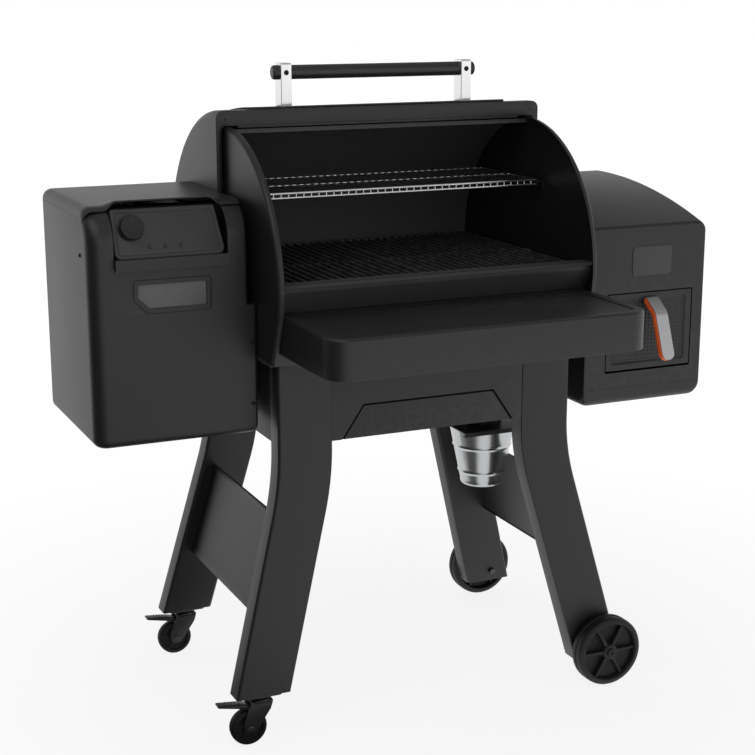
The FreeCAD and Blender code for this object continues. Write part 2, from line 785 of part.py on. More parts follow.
def chamber_body():
    half = drum_half - sheet - seat
    shell = Part.Face(body_profile()).extrude(V(2 * half, 0, 0))
    shell.translate(V(-half, 0, 0))
    slope = (lip_y - panel_y) / (lip_z - skirt_z)
    front_y = -(panel_y + slope * (ledge_z - skirt_z)) + 1.2
    front_ledge = box(-half, half, front_y, front_y + ledge_width, ledge_z, ledge_z + sheet)
    back_ledge = box(-half, half, roof_r - sheet - 2 * ledge_width, roof_r - sheet / 2, ledge_z,
                     ledge_z + sheet)
    stiffener = box(-half, half, roof_front - 1, roof_front + 1, axis_z + roof_r - 14, axis_z + roof_r - 1)
    body = join(shell, front_ledge, back_ledge, stiffener)
    mouth = box(-pan_x - seat, pan_x + seat, -pan_y - seat, pan_y + seat, body_bottom - 1,
                body_bottom + sheet + 1)
    vent = box(-vent_half, vent_half, roof_r - sheet - 1, roof_r + 1, vent_z0, vent_z1)
    return body.cut(mouth).cut(vent)


def rect_wire(x0, x1, y0, y1, z):
    points = [V(x0, y0, z), V(x1, y0, z), V(x1, y1, z), V(x0, y1, z)]
    return Part.makePolygon(points + points[:1])


def drain_pan():
    """Sloping pan under the fire that leads to one round outlet."""
    top = body_bottom + sheet + seat
    x, y, t = pan_x, pan_y, sheet
    outer = Part.makeLoft([rect_wire(-x, x, -y, y, top + t),
                           rect_wire(drain_x - drain_pad, drain_x + drain_pad, -drain_pad, drain_pad,
                                     pan_bottom)], True, True)
    inner = Part.makeLoft([rect_wire(-x + 2 * t, x - 1.2 * t, -y + 1.5 * t, y - 1.5 * t, top + t),
                           rect_wire(drain_x - drain_pad + t, drain_x + drain_pad - t, -drain_pad + t,
                                     drain_pad - t, pan_bottom + t)], True, True)
    rim = box(-x - pan_rim, x + pan_rim, -y - pan_rim, y + pan_rim, top, top + t)
    rim = rim.cut(box(-x + 1, x - 1, -y + 1, y - 1, top - 1, top + t + 1))
    pan = join(outer.cut(inner), rim)
    return pan.cut(rod((drain_x, 0, pan_bottom - 1), (0, 0, 1), drain_r + seat, 2 * t))


def drain_collar():
    """Spout from the pan and, under it, a plate with two rails that the cup's rim slides into from the left."""
    h, t = collar_half, sheet
    flange = tube((drain_x, 0, pan_bottom + t + seat), (0, 0, 1), drain_r + 6, drain_r - t, t)
    spout = tube((drain_x, 0, collar_z), (0, 0, 1), drain_r, drain_r - t, pan_bottom + t + seat - collar_z)
    plate = box(drain_x - h, drain_x + h, -h, h, collar_z, collar_z + t)
    plate = plate.cut(rod((drain_x, 0, collar_z - 1), (0, 0, 1), drain_r - t, t + 2))
    rails = []
    for s in (1, -1):
        a, b = sorted((s * h, s * (h - t)))
        rails.append(box(drain_x - h, drain_x + h, a, b, collar_lip_z, collar_z + t))
        a, b = sorted((s * h, s * (h - collar_lip)))
        rails.append(box(drain_x - h, drain_x + h, a, b, collar_lip_z, collar_lip_z + t))
    stop = box(drain_x + h - t, drain_x + h, -h, h, collar_lip_z, collar_z + t)
    return join(flange, spout, plate, *rails, stop)


def drip_cup():
    """Tapered cup with two beads and a flat rim, turned about its own axis."""
    t = cup_wall

    def r_at(z):
        return cup_r0 + (cup_r1 - cup_r0) * (z - cup_bottom) / (cup_top - cup_bottom)

    outer = [(0, cup_bottom), (cup_r0, cup_bottom)]
    for bead in cup_beads:
        outer += [(r_at(bead - 4), bead - 4), (r_at(bead) + cup_bead_r, bead - 1.5),
                  (r_at(bead) + cup_bead_r, bead + 1.5), (r_at(bead + 4), bead + 4)]
    outer += [(cup_r1, cup_top - t), (cup_rim_r, cup_top - t), (cup_rim_r, cup_top)]
    inner = [(cup_r1 - t, cup_top)]
    for bead in reversed(cup_beads):
        inner += [(r_at(bead + 4) - t, bead + 4), (r_at(bead) + cup_bead_r - t, bead + 1.5),
                  (r_at(bead) + cup_bead_r - t, bead - 1.5), (r_at(bead - 4) - t, bead - 4)]
    inner += [(cup_r0 - t, cup_bottom + t), (0, cup_bottom + t)]
    points = [V(drain_x + r, 0, z) for r, z in outer + inner]
    face = Part.Face(Part.makePolygon(points + points[:1]))
    return face.revolve(V(drain_x, 0, 0), V(0, 0, 1), 360)


def exhaust_hood():
    """Folded hood over the slot in the back wall, open at its lower edge."""
    y, t = roof_r + seat, sheet
    z0 = (vent_z0 + vent_z1) / 2 - hood_height / 2
    outline = [(y, z0), (y + hood_out, z0), (y + hood_out, z0 + hood_height - 20), (y, z0 + hood_height)]
    inner = [(y - 1, z0 - 1), (y + hood_out - t, z0 - 1), (y + hood_out - t, z0 + hood_height - 21),
             (y - 1, z0 + hood_height - t)]
    x = vent_half + 14
    return prism_x(outline, -x, x).cut(prism_x(inner, -x + t, x - t))


# ---------------------------------------------------------------- lid

def keep_quarter(shape):
    """Trim a full turn to the open lid: behind its rim and above its rear edge."""
    big = 3 * lid_r
    front = box(-big, big, -big, -lid_front, axis_z - big, axis_z + big)
    under = box(-big, big, -big, big, axis_z - big, axis_z)
    under.rotate(V(0, 0, axis_z), V(1, 0, 0), -lid_overlap)
    return shape.cut(front).cut(under)


def lid_shell():
    """Quarter drum: curved sheet, two side panels, and a rim along both straight edges."""
    r, t, x = lid_r, sheet, lid_half
    curve = keep_quarter(tube((-x, 0, axis_z), (1, 0, 0), r, r - t, 2 * x))
    sides = []
    for x0 in (-x, x - t):
        sector = keep_quarter(rod((x0, 0, axis_z), (1, 0, 0), r, t))
        ear = rod((x0, 0, axis_z), (1, 0, 0), ear_r, t)
        sides += [sector, ear]
    rim_in = r - lid_rim
    top = box(-x, x, -lid_front, -lid_front + t, axis_z + rim_in,
              axis_z + math.sqrt(r * r - lid_front ** 2) - 0.2)
    strips = [box(a, b, -lid_front, -lid_front + t, axis_z + ear_r, axis_z + rim_in + 1)
              for a, b in ((-x, -x + lid_strip), (x - lid_strip, x))]
    rear = box(-x, x, rim_in, r - 0.5, axis_z, axis_z + t)
    rear.rotate(V(0, 0, axis_z), V(1, 0, 0), -lid_overlap)
    lid = join(curve, *sides, top, *strips, rear)
    return lid.cut(rod((-x - 1, 0, axis_z), (1, 0, 0), pivot_r + run, 2 * x + 2))


def lid_pivots():
    """Shouldered pins that carry the lid on the end walls."""
    left = join(
        rod((-drum_half + sheet + seat, 0, axis_z), (1, 0, 0), pivot_head_r, 4),
        rod((-lid_half - seat - pivot_head, 0, axis_z), (1, 0, 0), pivot_r,
            lid_half + seat + pivot_head - drum_half + sheet + seat + 4),
        rod((-lid_half + sheet + seat, 0, axis_z), (1, 0, 0), pivot_collar_r,
            lid_half - sheet - drum_half - 2 * seat),
        rod((-lid_half - seat - pivot_head, 0, axis_z), (1, 0, 0), pivot_head_r, pivot_head))
    return Part.makeCompound([left, mirror_x(left)])


def arc_slab(r0, r1, half, from_deg, to_deg):
    """Slab between two radii about the lid's pivot, from_deg to to_deg behind the vertical."""
    ring = tube((-half, 0, axis_z), (1, 0, 0), r1, r0, 2 * half)
    big = 3 * lid_r
    ahead = box(-big, big, -big, 0, axis_z - big, axis_z + big)
    ahead.rotate(V(0, 0, axis_z), V(1, 0, 0), -from_deg)
    behind = box(-big, big, 0, big, axis_z - big, axis_z + big)
    behind.rotate(V(0, 0, axis_z), V(1, 0, 0), -to_deg)
    return ring.cut(ahead).cut(behind)


def handle_strip():
    """Curved mounting strip for the handle, its two ends cut on a slope."""
    slab = arc_slab(lid_r + seat, lid_r + strip_thick, strip_half, strip_from, strip_to)
    top = axis_z + lid_r + strip_thick + 1
    reach = (lid_r + strip_thick) * math.sin(math.radians(strip_to))
    for s in (1, -1):
        wedge = prism_z([(s * strip_half, 0), (s * (strip_half - strip_taper), 0), (s * strip_half, reach)],
                        axis_z, top)
        slab = slab.cut(wedge)
    return slab


def handle_posts():
    """Two folded channels that stand on the strip and clamp the bar."""
    posts = []
    foot_r = lid_r + strip_thick + seat
    for s in (1, -1):
        x0, x1 = s * handle_x - post_width / 2, s * handle_x + post_width / 2
        y0, y1 = handle_y - post_depth / 2, handle_y + post_depth / 2
        low = axis_z + math.sqrt(foot_r ** 2 - y1 ** 2) - 1
        outer = box(x0, x1, y0, y1, low, post_top)
        edges = edges_at(outer, lambda x, y, z: abs(z - post_top) < 0.1 and abs(y - handle_y) > 1)
        outer = outer.makeFillet(6.0, edges)
        hollow = box(x0 + post_wall, x1 - post_wall, y0 + post_wall, y1 + 1, low - 1, post_top - post_wall)
        foot = rod((-lid_half, 0, axis_z), (1, 0, 0), foot_r, 2 * lid_half)
        post = outer.cut(hollow).cut(foot)
        post = post.cut(rod((x0 - 1, handle_y, handle_z), (1, 0, 0), handle_r + seat, post_width + 2))
        posts.append(post)
    return Part.makeCompound(posts)


def handle_bar():
    half = handle_x + post_width / 2 + handle_end
    return rod((-half, handle_y, handle_z), (1, 0, 0), handle_r, 2 * half)


# ---------------------------------------------------------------- racks, tray and fire

def grate(side):
    """Cast grid of flat bars from front to back, in a frame."""
    x1 = drum_half - grate_side_gap
    x0 = 0.8
    z0, z1 = grate_top - grate_thick, grate_top
    y, b = grate_half_y, grate_bar
    bars = [box(x0, x1, -y, -y + b, z0, z1), box(x0, x1, y - b, y, z0, z1),
            box(x0, x1, -b / 2, b / 2, z0, z1 - 3)]
    count = int((x1 - x0 - b) / grate_pitch)
    pitch = (x1 - x0 - b) / count
    bars += [box(x0 + pitch * i, x0 + pitch * i + b, -y, y, z0, z1) for i in range(count + 1)]
    body = join(*bars)
    return body if side == "right" else mirror_x(body)


def warming_rack():
    """Wire rack: frame, double front rail, and thin wires from front to back with a peg at the front."""
    w, z, x = rack_wire, rack_z, rack_half
    h = w / 2
    y0, y1 = rack_y0, rack_y1
    inner_half = drum_half - sheet - rack_rail_width - play
    frame = [box(-x, x, y0 - h, y0 + h, z - h, z + h), box(-x, x, y1 - h, y1 + h, z - h, z + h),
             box(-inner_half, inner_half, y0 - h, y0 + h, z - rack_drop - h, z - rack_drop + h),
             box(-x, x, (y0 + y1) / 2 - h, (y0 + y1) / 2 + h, z - h, z + h),
             box(-x, -x + w, y0 - h, y1 + h, z - h, z + h), box(x - w, x, y0 - h, y1 + h, z - h, z + h)]
    d = rack_bar_wire / 2
    pitch = 2 * (inner_half - w) / (rack_bars - 1)
    for i in range(rack_bars):
        px = -inner_half + w + pitch * i
        frame.append(box(px - d, px + d, y0, y1, z + h - 2 * d, z + h))
        frame.append(box(px - d, px + d, y0 - d, y0 + d, z - rack_drop, z))
    return join(*frame)


def tray_z(x):
    return tray_high + (tray_low - tray_high) * (x - tray_x0) / (tray_x1 - tray_x0)


def drip_tray():
    """Sloping tray on four feet that sheds grease to its right-hand end."""
    t = tray_wall
    deck = prism_y([(tray_x0, tray_high), (tray_x1, tray_low), (tray_x1, tray_low - t),
                    (tray_x0, tray_high - t)], -tray_y, tray_y)
    lips = [prism_y([(tray_x0, tray_high + tray_lip - 2), (tray_x1, tray_low + tray_lip),
                     (tray_x1, tray_low - t), (tray_x0, tray_high - t)], y0, y0 + t)
            for y0 in (-tray_y, tray_y - t)]
    end = box(tray_x0, tray_x0 + t, -tray_y, tray_y, tray_high - t, tray_high + tray_lip - 2)
    feet = []
    for x in (tray_x0 + 24, tray_x1 - 34):
        for y in (-tray_y + 1, tray_y - 1 - tray_foot):
            feet.append(box(x, x + tray_foot, y, y + tray_foot, body_bottom + sheet + seat, tray_z(x + tray_foot)
                            - t / 2))
    return join(deck, *lips, end, *feet)


def heat_baffle():
    x, y, t = baffle_half_x, baffle_half_y, sheet
    top = box(-x, x, -y, y, baffle_z, baffle_z + t)
    legs = [box(-x, x, y0, y0 + t, body_bottom + sheet + seat, baffle_z) for y0 in (-y, y - t)]
    return join(top, *legs)


pot_bottom = body_bottom + 2 * sheet + 2 * seat + 3


def burn_pot():
    """Fire pot on a strap across the pan, with openings for fuel, air and igniter and a holed wall."""
    z = pot_bottom
    pot = rod((0, 0, z), (0, 0, 1), pot_r, pot_height)
    pot = pot.cut(rod((0, 0, z + pot_wall), (0, 0, 1), pot_r - pot_wall, pot_height))
    strap = box(-strap_width / 2, strap_width / 2, -pan_y - pan_rim, pan_y + pan_rim, z - 3, z)
    pot = join(pot, strap)
    cuts = [rod((-pot_r - 5, 0, auger_z), (1, 0, 0), auger_tube_r + seat, pot_r),
            rod((-pot_r - 5, air_y, air_z), (1, 0, 0), air_r + seat, pot_r),
            rod((-pot_r - 5, igniter_y, igniter_z), (1, 0, 0), igniter_r + seat, pot_r)]
    for i in range(7):
        turn = math.radians(-75 + 25 * i)
        cuts.append(rod((0, 0, z + 30), (math.cos(turn), math.sin(turn), 0), 3, pot_r + 5))
        cuts.append(rod((30 * math.cos(turn), 30 * math.sin(turn), z - 1), (0, 0, 1), 3, pot_wall + 2))
    for cut in cuts:
        pot = pot.cut(cut)
    return pot


auger_end = -pot_r + pot_wall + 1


def auger_tube():
    """Fuel tube with the inlet of the bin on top and a cap that carries the auger's shaft."""
    x0, x1 = auger_left, auger_end
    r, t = auger_tube_r, auger_tube_wall
    fuel = tube((x0, 0, auger_z), (1, 0, 0), r, r - t, x1 - x0)
    inlet = box(neck_x0, neck_x1, -neck_y + 1, neck_y - 1, auger_z, auger_z + r + 1)
    cap = rod((x0 - t, 0, auger_z), (1, 0, 0), r, t).cut(
        rod((x0 - t - 1, 0, auger_z), (1, 0, 0), auger_shaft_r + run, t + 2))
    return join(fuel.cut(inlet), cap)


def air_tube():
    """Air tube from the fan to the fire pot, with its wider mouth at the fan."""
    x0, x1 = fan_x + fan_depth / 2 + seat, -math.sqrt(pot_r ** 2 - (air_y + air_r) ** 2) - 2
    return tube((x0, air_y, air_z), (1, 0, 0), air_r, air_r - 1.5, x1 - x0)


def auger_screw():
    """Shaft with a helical blade; it runs inside the fuel tube from the motor to the fire pot."""
    x0, x1 = auger_left + 6, auger_end - 4
    shaft = rod((auger_left - 14, 0, auger_z), (1, 0, 0), auger_shaft_r, x1 - auger_left + 14)
    length = x1 - x0 - 10
    helix = Part.makeLongHelix(auger_pitch, length, (auger_r + auger_shaft_r) / 2)
    r0, r1, b = auger_shaft_r - 1.5, auger_r, auger_blade / 2
    points = [V(r0, 0, -b), V(r1, 0, -b), V(r1, 0, b), V(r0, 0, b)]
    profile = Part.makePolygon(points + points[:1])
    sweep = Part.Wire(helix.Edges).makePipeShell([profile], True, True)
    blade = Part.Solid(sweep) if sweep.ShapeType == "Shell" else sweep
    blade.rotate(V(0, 0, 0), V(0, 1, 0), 90)
    blade.translate(V(x0 + 5, 0, auger_z))
    return shaft.fuse(blade)


def igniter_rod():
    """Hot rod with a threaded head, from the hopper side into the fire pot."""
    x0 = -drum_half - 40
    body = rod((x0, igniter_y, igniter_z), (1, 0, 0), igniter_r, -x0 - 44)
    head = rod((x0 - 14, igniter_y, igniter_z), (1, 0, 0), igniter_r + 3, 14)
    return join(body, head)


def temperature_probe():
    x0 = -drum_half - 10
    body = rod((x0, probe_y, probe_z), (1, 0, 0), probe_r, probe_length)
    nut = rod((-drum_half + sheet + seat, probe_y, probe_z), (1, 0, 0), probe_r + 4, 5)
    return join(body, nut)


# ---------------------------------------------------------------- pellet hopper

def rolled(block, along, centre, r, low, high):
    """Keep what lies inside a rolled edge: along X at the front's top, or along Y at the left side's top."""
    cy, cz = centre
    reach = hopper_left + hopper_y
    below = box(-reach, reach, -reach, reach, low - 1, cz)
    if along == "x":
        beyond = box(-reach, reach, cy, reach, low - 1, high + 1)
        roll = rod((-reach, cy, cz), (1, 0, 0), r, 2 * reach)
    else:
        beyond = box(cy, reach, -reach, reach, low - 1, high + 1)
        roll = rod((cy, -reach, cz), (0, 1, 0), r, 2 * reach)
    return block.common(join(below, beyond, roll))


def hopper_block(t):
    """Outer form of the hopper shrunk by t: wide below the notch, narrow above it, two top edges rolled."""
    bottom_z, top_z = hopper_bottom + t, hopper_top - t
    x0, y = -hopper_left + t, hopper_y - t
    lower = box(x0, -hopper_right - t, -y, y, bottom_z, hopper_notch_z - t)
    upper = box(x0, -hopper_notch_x - t, -y, y, hopper_notch_z - 2 * t, top_z)
    block = join(lower, upper)
    left = vertical_edges(block, lambda x, y, z: x < x0 + 1)
    block = block.makeFillet(hopper_corner - t, left)
    below_notch = hopper_notch_z - hopper_seam - 2
    lower_right = vertical_edges(block, lambda x, y, z: x > -hopper_right - t - 1 and z < below_notch)
    block = block.makeFillet(hopper_seam - t, lower_right)
    bottom = edges_at(block, lambda x, y, z: abs(z - bottom_z) < 0.01)
    block = block.makeFillet(hopper_edge - t, bottom)
    block = rolled(block, "x", (-hopper_y + hopper_brow, hopper_top - hopper_brow), hopper_brow - t,
                   bottom_z, top_z)
    side = rolled(block, "y", (-hopper_left + sheet + hopper_corner, hopper_top - hopper_corner),
                  hopper_corner - t, bottom_z, top_z)
    band_top = hopper_lid_top - hopper_corner - seat - t
    band = box(-hopper_left, -hopper_right, -hopper_y, hopper_y, hopper_top - hopper_corner - 1, band_top)
    return join(side, block.common(band)) if t == 0 else side


def hopper_housing():
    """Folded case with a deck round the bin's mouth, a well for the controls, and hinge knuckles."""
    outer = hopper_block(0)
    case = outer.cut(hopper_block(sheet))
    mouth = box(bin_x0 - seat, bin_x1 + seat, bin_y0 - seat, bin_y1 + seat, hopper_top - 3 * sheet,
                hopper_top + 1)
    well = box(pod_x0 - play, pod_x1 + pod_well, -hopper_y - 30, pod_back + sheet + 3, pod_bottom - seat,
               hopper_top + 1)
    lining = box(pod_x0 - play - sheet, pod_x1 + pod_well + sheet, -hopper_y + sheet / 2,
                 pod_back + 2 * sheet + 3, pod_bottom - seat - sheet, hopper_top - sheet / 2)
    case = join(case.cut(mouth), lining.common(outer)).cut(well)
    case = case.cut(window_hole())
    wall = 15 * sheet
    for cut in (rod((-hopper_right - wall, 0, auger_z), (1, 0, 0), auger_tube_r + seat, wall + sheet),
                rod((-hopper_right - wall, igniter_y, igniter_z), (1, 0, 0), igniter_r + 4, wall + sheet),
                rod((-hopper_right - wall, air_y, air_z), (1, 0, 0), air_r + seat, wall + sheet),
                box(inlet_x - inlet_width / 2 + 3, inlet_x + inlet_width / 2 - 3, hopper_y - 4, hopper_y + 1,
                    inlet_z - inlet_height / 2 + 3, inlet_z + inlet_height / 2 - 3)):
        case = case.cut(cut)
    return join(case, *knuckles(0))


hinge_y = hopper_y + hinge_out
hinge_z = hopper_top + seat / 2


def knuckles(lid):
    """Hinge knuckles on the case (lid = 0) or on the lid (lid = 1), side by side on one pin."""
    out = []
    centre = -(hopper_left + hopper_notch_x) / 2
    for s in (-1, 1):
        start = centre + s * knuckle_x + (knuckle_length / 2 + seat if lid else -knuckle_length / 2)
        end = start + knuckle_length - seat
        barrel = rod((start, hinge_y, hinge_z), (1, 0, 0), knuckle_r, end - start)
        if lid:
            leaf = box(start, end, hopper_y - 12, hinge_y, hinge_z + 1, hinge_z + knuckle_r)
        else:
            leaf = box(start, end, hopper_y - 1, hinge_y, hinge_z - 22, hinge_z - 1)
            leaf = leaf.cut(box(start - 1, end + 1, hopper_y + 2.5, hinge_y + 9, hinge_z - 30, hinge_z - 5))
        out.append(join(barrel, leaf).cut(rod((start - 1, hinge_y, hinge_z), (1, 0, 0), hinge_pin_r + run,
                                              end - start + 2)))
    return out


def lid_hood(drop, ahead, low):
    """Raised front of the hopper's lid, lowered by drop: it sinks towards the back and to both sides."""
    y0 = hopper_lid_front - hood_front - ahead
    y1 = hopper_lid_front - hood_front + hood_back
    x0, x1 = pod_x0 + hood_left, pod_x1 - hood_right
    flat, high = hopper_lid_top - drop, hopper_lid_top + hood_rise - drop
    wedge = prism_x([(y0, low), (y0, high), (y1, flat), (y1, low)], x0 - hood_slope, x1 + hood_slope)
    sides = prism_y([(x0 - hood_slope, flat), (x0, high), (x1, high), (x1 + hood_slope, flat),
                     (x1 + hood_slope, low), (x0 - hood_slope, low)], y0, y1)
    return wedge.common(sides)


def hopper_lid():
    """Lid whose left edge rolls down the side, raised over the controls, with its hinge knuckles."""
    r, z0, z1 = hopper_corner, hopper_top + seat, hopper_lid_top
    x0, x1, y0, y1 = -hopper_left, -hopper_notch_x, hopper_lid_front, hopper_y
    plate = box(x0 + r, x1, y0, y1, z0, z1)
    roll = tube((x0 + r, y0, z1 - r), (0, 1, 0), r, r - sheet, y1 - y0)
    roll = roll.common(box(x0 - 1, x0 + r, y0 - 1, y1 + 1, z1 - r, z1 + 1))
    corner = box(x0 - 1, x1 + 1, y0 - 1, y1, z1 - r - 1, z1 + 1)
    corner = corner.makeFillet(r, vertical_edges(corner, lambda x, y, z: x < x0 and y > 0))
    under = box(x0 + r + sheet, x1 - 3 * sheet, y0 + 4 * sheet, y1 - 7 * sheet, z0 - 1, z1 - sheet)
    lid = join(plate, roll, lid_hood(0, 0, z0)).common(corner.fuse(lid_hood(0, 1, z0 - 1)))
    lid = lid.cut(under).cut(lid_hood(hood_wall, 2, z0 - 2))
    lid = lid.cut(rod((x0, hinge_y, hinge_z), (1, 0, 0), knuckle_r + seat, x1 - x0))
    return join(lid, *knuckles(1))


def hinge_pins():
    """Pins of the hopper lid and of the cabinet door."""
    centre = -(hopper_left + hopper_notch_x) / 2
    pins = [rod((centre + s * knuckle_x - knuckle_length / 2 - 2, hinge_y, hinge_z), (1, 0, 0), hinge_pin_r,
                2 * knuckle_length + 4) for s in (-1, 1)]
    pins.append(rod((door_x0 - 16, door_pin_y, door_pin_z), (1, 0, 0), door_pin_r,
                    door_x1 - door_x0 + 32))
    return Part.makeCompound(pins)


def hopper_bin():
    """Funnel for the fuel, with a flat rim, a neck over the auger and a welded guard of wires."""
    z1, t = hopper_top - sheet, bin_wall
    collar = z1 - bin_straight
    top_out = rect_wire(bin_x0, bin_x1, bin_y0, bin_y1, collar)
    top_in = rect_wire(bin_x0 + t, bin_x1 - t, bin_y0 + t, bin_y1 - t, collar)
    low_out = rect_wire(neck_x0 - t, neck_x1 + t, -neck_y - t, neck_y + t, neck_z)
    low_in = rect_wire(neck_x0, neck_x1, -neck_y, neck_y, neck_z)
    funnel = Part.makeLoft([top_out, low_out], True, True).cut(Part.makeLoft([top_in, low_in], True, True))
    straight = box(bin_x0, bin_x1, bin_y0, bin_y1, collar, z1 + 1).cut(
        box(bin_x0 + t, bin_x1 - t, bin_y0 + t, bin_y1 - t, collar - 1, z1 + 2))
    neck_low = auger_z + auger_tube_r + seat
    neck = box(neck_x0 - t, neck_x1 + t, -neck_y - t, neck_y + t, neck_low, neck_z).cut(
        box(neck_x0, neck_x1, -neck_y, neck_y, neck_low - 1, neck_z + 1))
    guard_z = z1 - guard_drop
    centre, run_x = (neck_x0 + neck_x1) / 2, (bin_x1 - bin_x0) * 0.36
    wires = []
    for i in range(guard_bars):
        y = bin_y0 + guard_side + (bin_y1 - bin_y0 - 2 * guard_side) * i / (guard_bars - 1)
        wires.append(box(centre - run_x, centre + run_x, y - guard_wire / 2, y + guard_wire / 2, guard_z,
                         guard_z + guard_wire))
    for x in (centre - run_x, centre + run_x - guard_wire):
        wires.append(box(x, x + guard_wire, bin_y0 + guard_end, bin_y1 - guard_end, guard_z,
                         guard_z + guard_wire))
    return join(funnel, straight, neck, *wires)


def window_outline(grow):
    x0, x1, z0, z1 = window_x0 - grow, window_x1 + grow, window_z0 - grow, window_z1 + grow
    c = window_cut + 0.4 * grow
    return [(x0, z1), (x1, z1), (x1, z0), (x0 + 0.6 * c, z0), (x0, z0 + c)]


def window_hole():
    return prism_y(window_outline(0), -hopper_y - 1, -hopper_y + sheet + 1)


def pellet_window():
    """Glazing behind the front sheet."""
    y = -hopper_y + sheet + seat
    return prism_y(window_outline(window_frame * 0.6), y, y + glass_thick)


def auger_motor():
    """Gear motor on the end of the fuel tube, with a socket for the auger's shaft."""
    x1 = auger_left - auger_tube_wall - seat
    h = motor_size / 2
    case = box(x1 - 20, x1, -h, h, auger_z - h, auger_z + h)
    can = rod((x1 - motor_length, 0, auger_z + 4), (1, 0, 0), h - 4, motor_length - 18)
    return join(case, can).cut(rod((x1 - 22, 0, auger_z), (1, 0, 0), auger_shaft_r + run, 30))


def fan_housing():
    """Scroll case of the combustion fan with its outlet up to the air tube."""
    x0, x1 = fan_x - fan_depth / 2, fan_x + fan_depth / 2
    outer = rod((x0, 0, fan_z), (1, 0, 0), fan_r + 8, fan_depth)
    riser = box(x0, x1, air_y - air_r - 3, air_y + air_r + 3, fan_z, air_z + air_r + 3)
    inner = rod((x0 + sheet, 0, fan_z), (1, 0, 0), fan_r + 6, fan_depth - 2 * sheet)
    shaft = box(x0 + sheet, x1 - sheet, air_y - air_r - 1, air_y + air_r + 1, fan_z, air_z + air_r + 1)
    case = join(outer, riser).cut(join(inner, shaft))
    case = case.cut(rod((x1 - sheet - 1, air_y, air_z), (1, 0, 0), air_r - 1, 10))
    case = case.cut(rod((x0 - 1, 0, fan_z), (1, 0, 0), 26, sheet + 2))
    motor = rod((x1, 0, fan_z), (1, 0, 0), 24, 34)
    foot = box(x0, x1, -30, 30, hopper_bottom + sheet + seat, fan_z - fan_r)
    case = join(case, motor, foot.cut(rod((x0 - 1, 0, fan_z), (1, 0, 0), fan_r + 7, fan_depth + 2)))
    return case.cut(rod((x1 - sheet - 1, 0, fan_z), (1, 0, 0), 4 + run, 25))


def fan_impeller():
    """Drum impeller on the fan motor's shaft."""
    x0, x1 = fan_x - fan_depth / 2 + sheet + 3, fan_x + fan_depth / 2 - sheet - 3
    plate = rod((x1 - 2, 0, fan_z), (1, 0, 0), fan_r - 4, 2)
    shaft = rod((x0 + 4, 0, fan_z), (1, 0, 0), 4, x1 - x0 + 16)
    hub = rod((x0 + 4, 0, fan_z), (1, 0, 0), 9, x1 - x0 - 5)
    blades = []
    for i in range(fan_blades):
        blade = box(x0, x1 - 1, -1, 1, fan_r - 18, fan_r - 5)
        blade.rotate(V(0, 0, 0), V(1, 0, 0), 360 / fan_blades * i)
        blade.translate(V(0, 0, fan_z))
        blades.append(blade)
    ring = tube((x0, 0, fan_z), (1, 0, 0), fan_r - 4, fan_r - 20, 2)
    return join(plate, shaft, hub, ring, *blades)


def power_inlet():
    """Flanged socket for the mains lead, in the back of the hopper."""
    w, h = inlet_width / 2, inlet_height / 2
    flange = box(inlet_x - w, inlet_x + w, hopper_y + seat, hopper_y + 3, inlet_z - h, inlet_z + h)
    body = box(inlet_x - w + 4, inlet_x + w - 4, hopper_y - 22, hopper_y + 1, inlet_z - h + 4, inlet_z + h - 4)
    socket = box(inlet_x - w + 9, inlet_x + w - 9, hopper_y - 16, hopper_y + 4, inlet_z - h + 7,
                 inlet_z + h - 7)
    pins = [box(inlet_x + d - 1, inlet_x + d + 1, hopper_y - 17, hopper_y - 3, inlet_z - 3, inlet_z + 3)
            for d in (-7, 0, 7)]
    return join(join(flange, body).cut(socket), *pins)


# ---------------------------------------------------------------- controls

pod_tilt = math.degrees(math.atan2(pod_front_high - pod_front_low, pod_top - pod_bottom))
pod_out = V(0, -math.cos(math.radians(pod_tilt)), math.sin(math.radians(pod_tilt)))


def pod_face_y(z):
    return pod_front_low + (pod_front_high - pod_front_low) * (z - pod_bottom) / (pod_top - pod_bottom)


def face_point(x, z, out=0.0):
    """Point on the pod's tilted face at x and height z, moved outwards."""
    return V(x, pod_face_y(z), z) + pod_out * out


def face_rod(x, z, start, r, length):
    return Part.makeCylinder(r, length, face_point(x, z, start), pod_out)


def pod_front(inset):
    """Pod's outline from the front, its right side leaning in, as a block through its depth."""
    low, high = pod_bottom - 1, pod_top + 1
    lean = pod_slant / (pod_top - pod_bottom)
    right = pod_x1 - inset
    points = [(pod_x0, low), (right + lean, low), (right - pod_slant - lean, high), (pod_x0, high)]
    return prism_y(points, pod_front_low - 1, pod_back + 2)


def control_pod():
    """Hollow control box with a tilted face, open at the back, and holes for knob and buttons."""
    w = pod_wall
    outline = [(pod_front_low, pod_bottom), (pod_front_high, pod_top), (pod_back, pod_top),
               (pod_back, pod_bottom)]
    outer = prism_x(outline, pod_x0, pod_x1)
    outer = outer.common(pod_front(0))
    middle = (pod_back + pod_front_low) / 2
    bottom = edges_at(outer, lambda x, y, z: abs(z - pod_bottom) < 0.1 and abs(y - middle) < 6)
    outer = outer.makeFillet(14.0, bottom)
    inner = prism_x([(pod_front_low + 1.2 * w, pod_bottom + w), (pod_front_high + 1.2 * w, pod_top - w),
                     (pod_back + 1, pod_top - w), (pod_back + 1, pod_bottom + w)],
                    pod_x0 + 2 * w, pod_x1).common(pod_front(2 * w))
    pod = outer.cut(inner)
    pod = pod.cut(face_rod(knob_x, knob_z, -10, knob_shaft_r + run, 20))
    for x in button_x:
        pod = pod.cut(face_rod(x, button_z, -10, button_r + run, 20))
    return pod


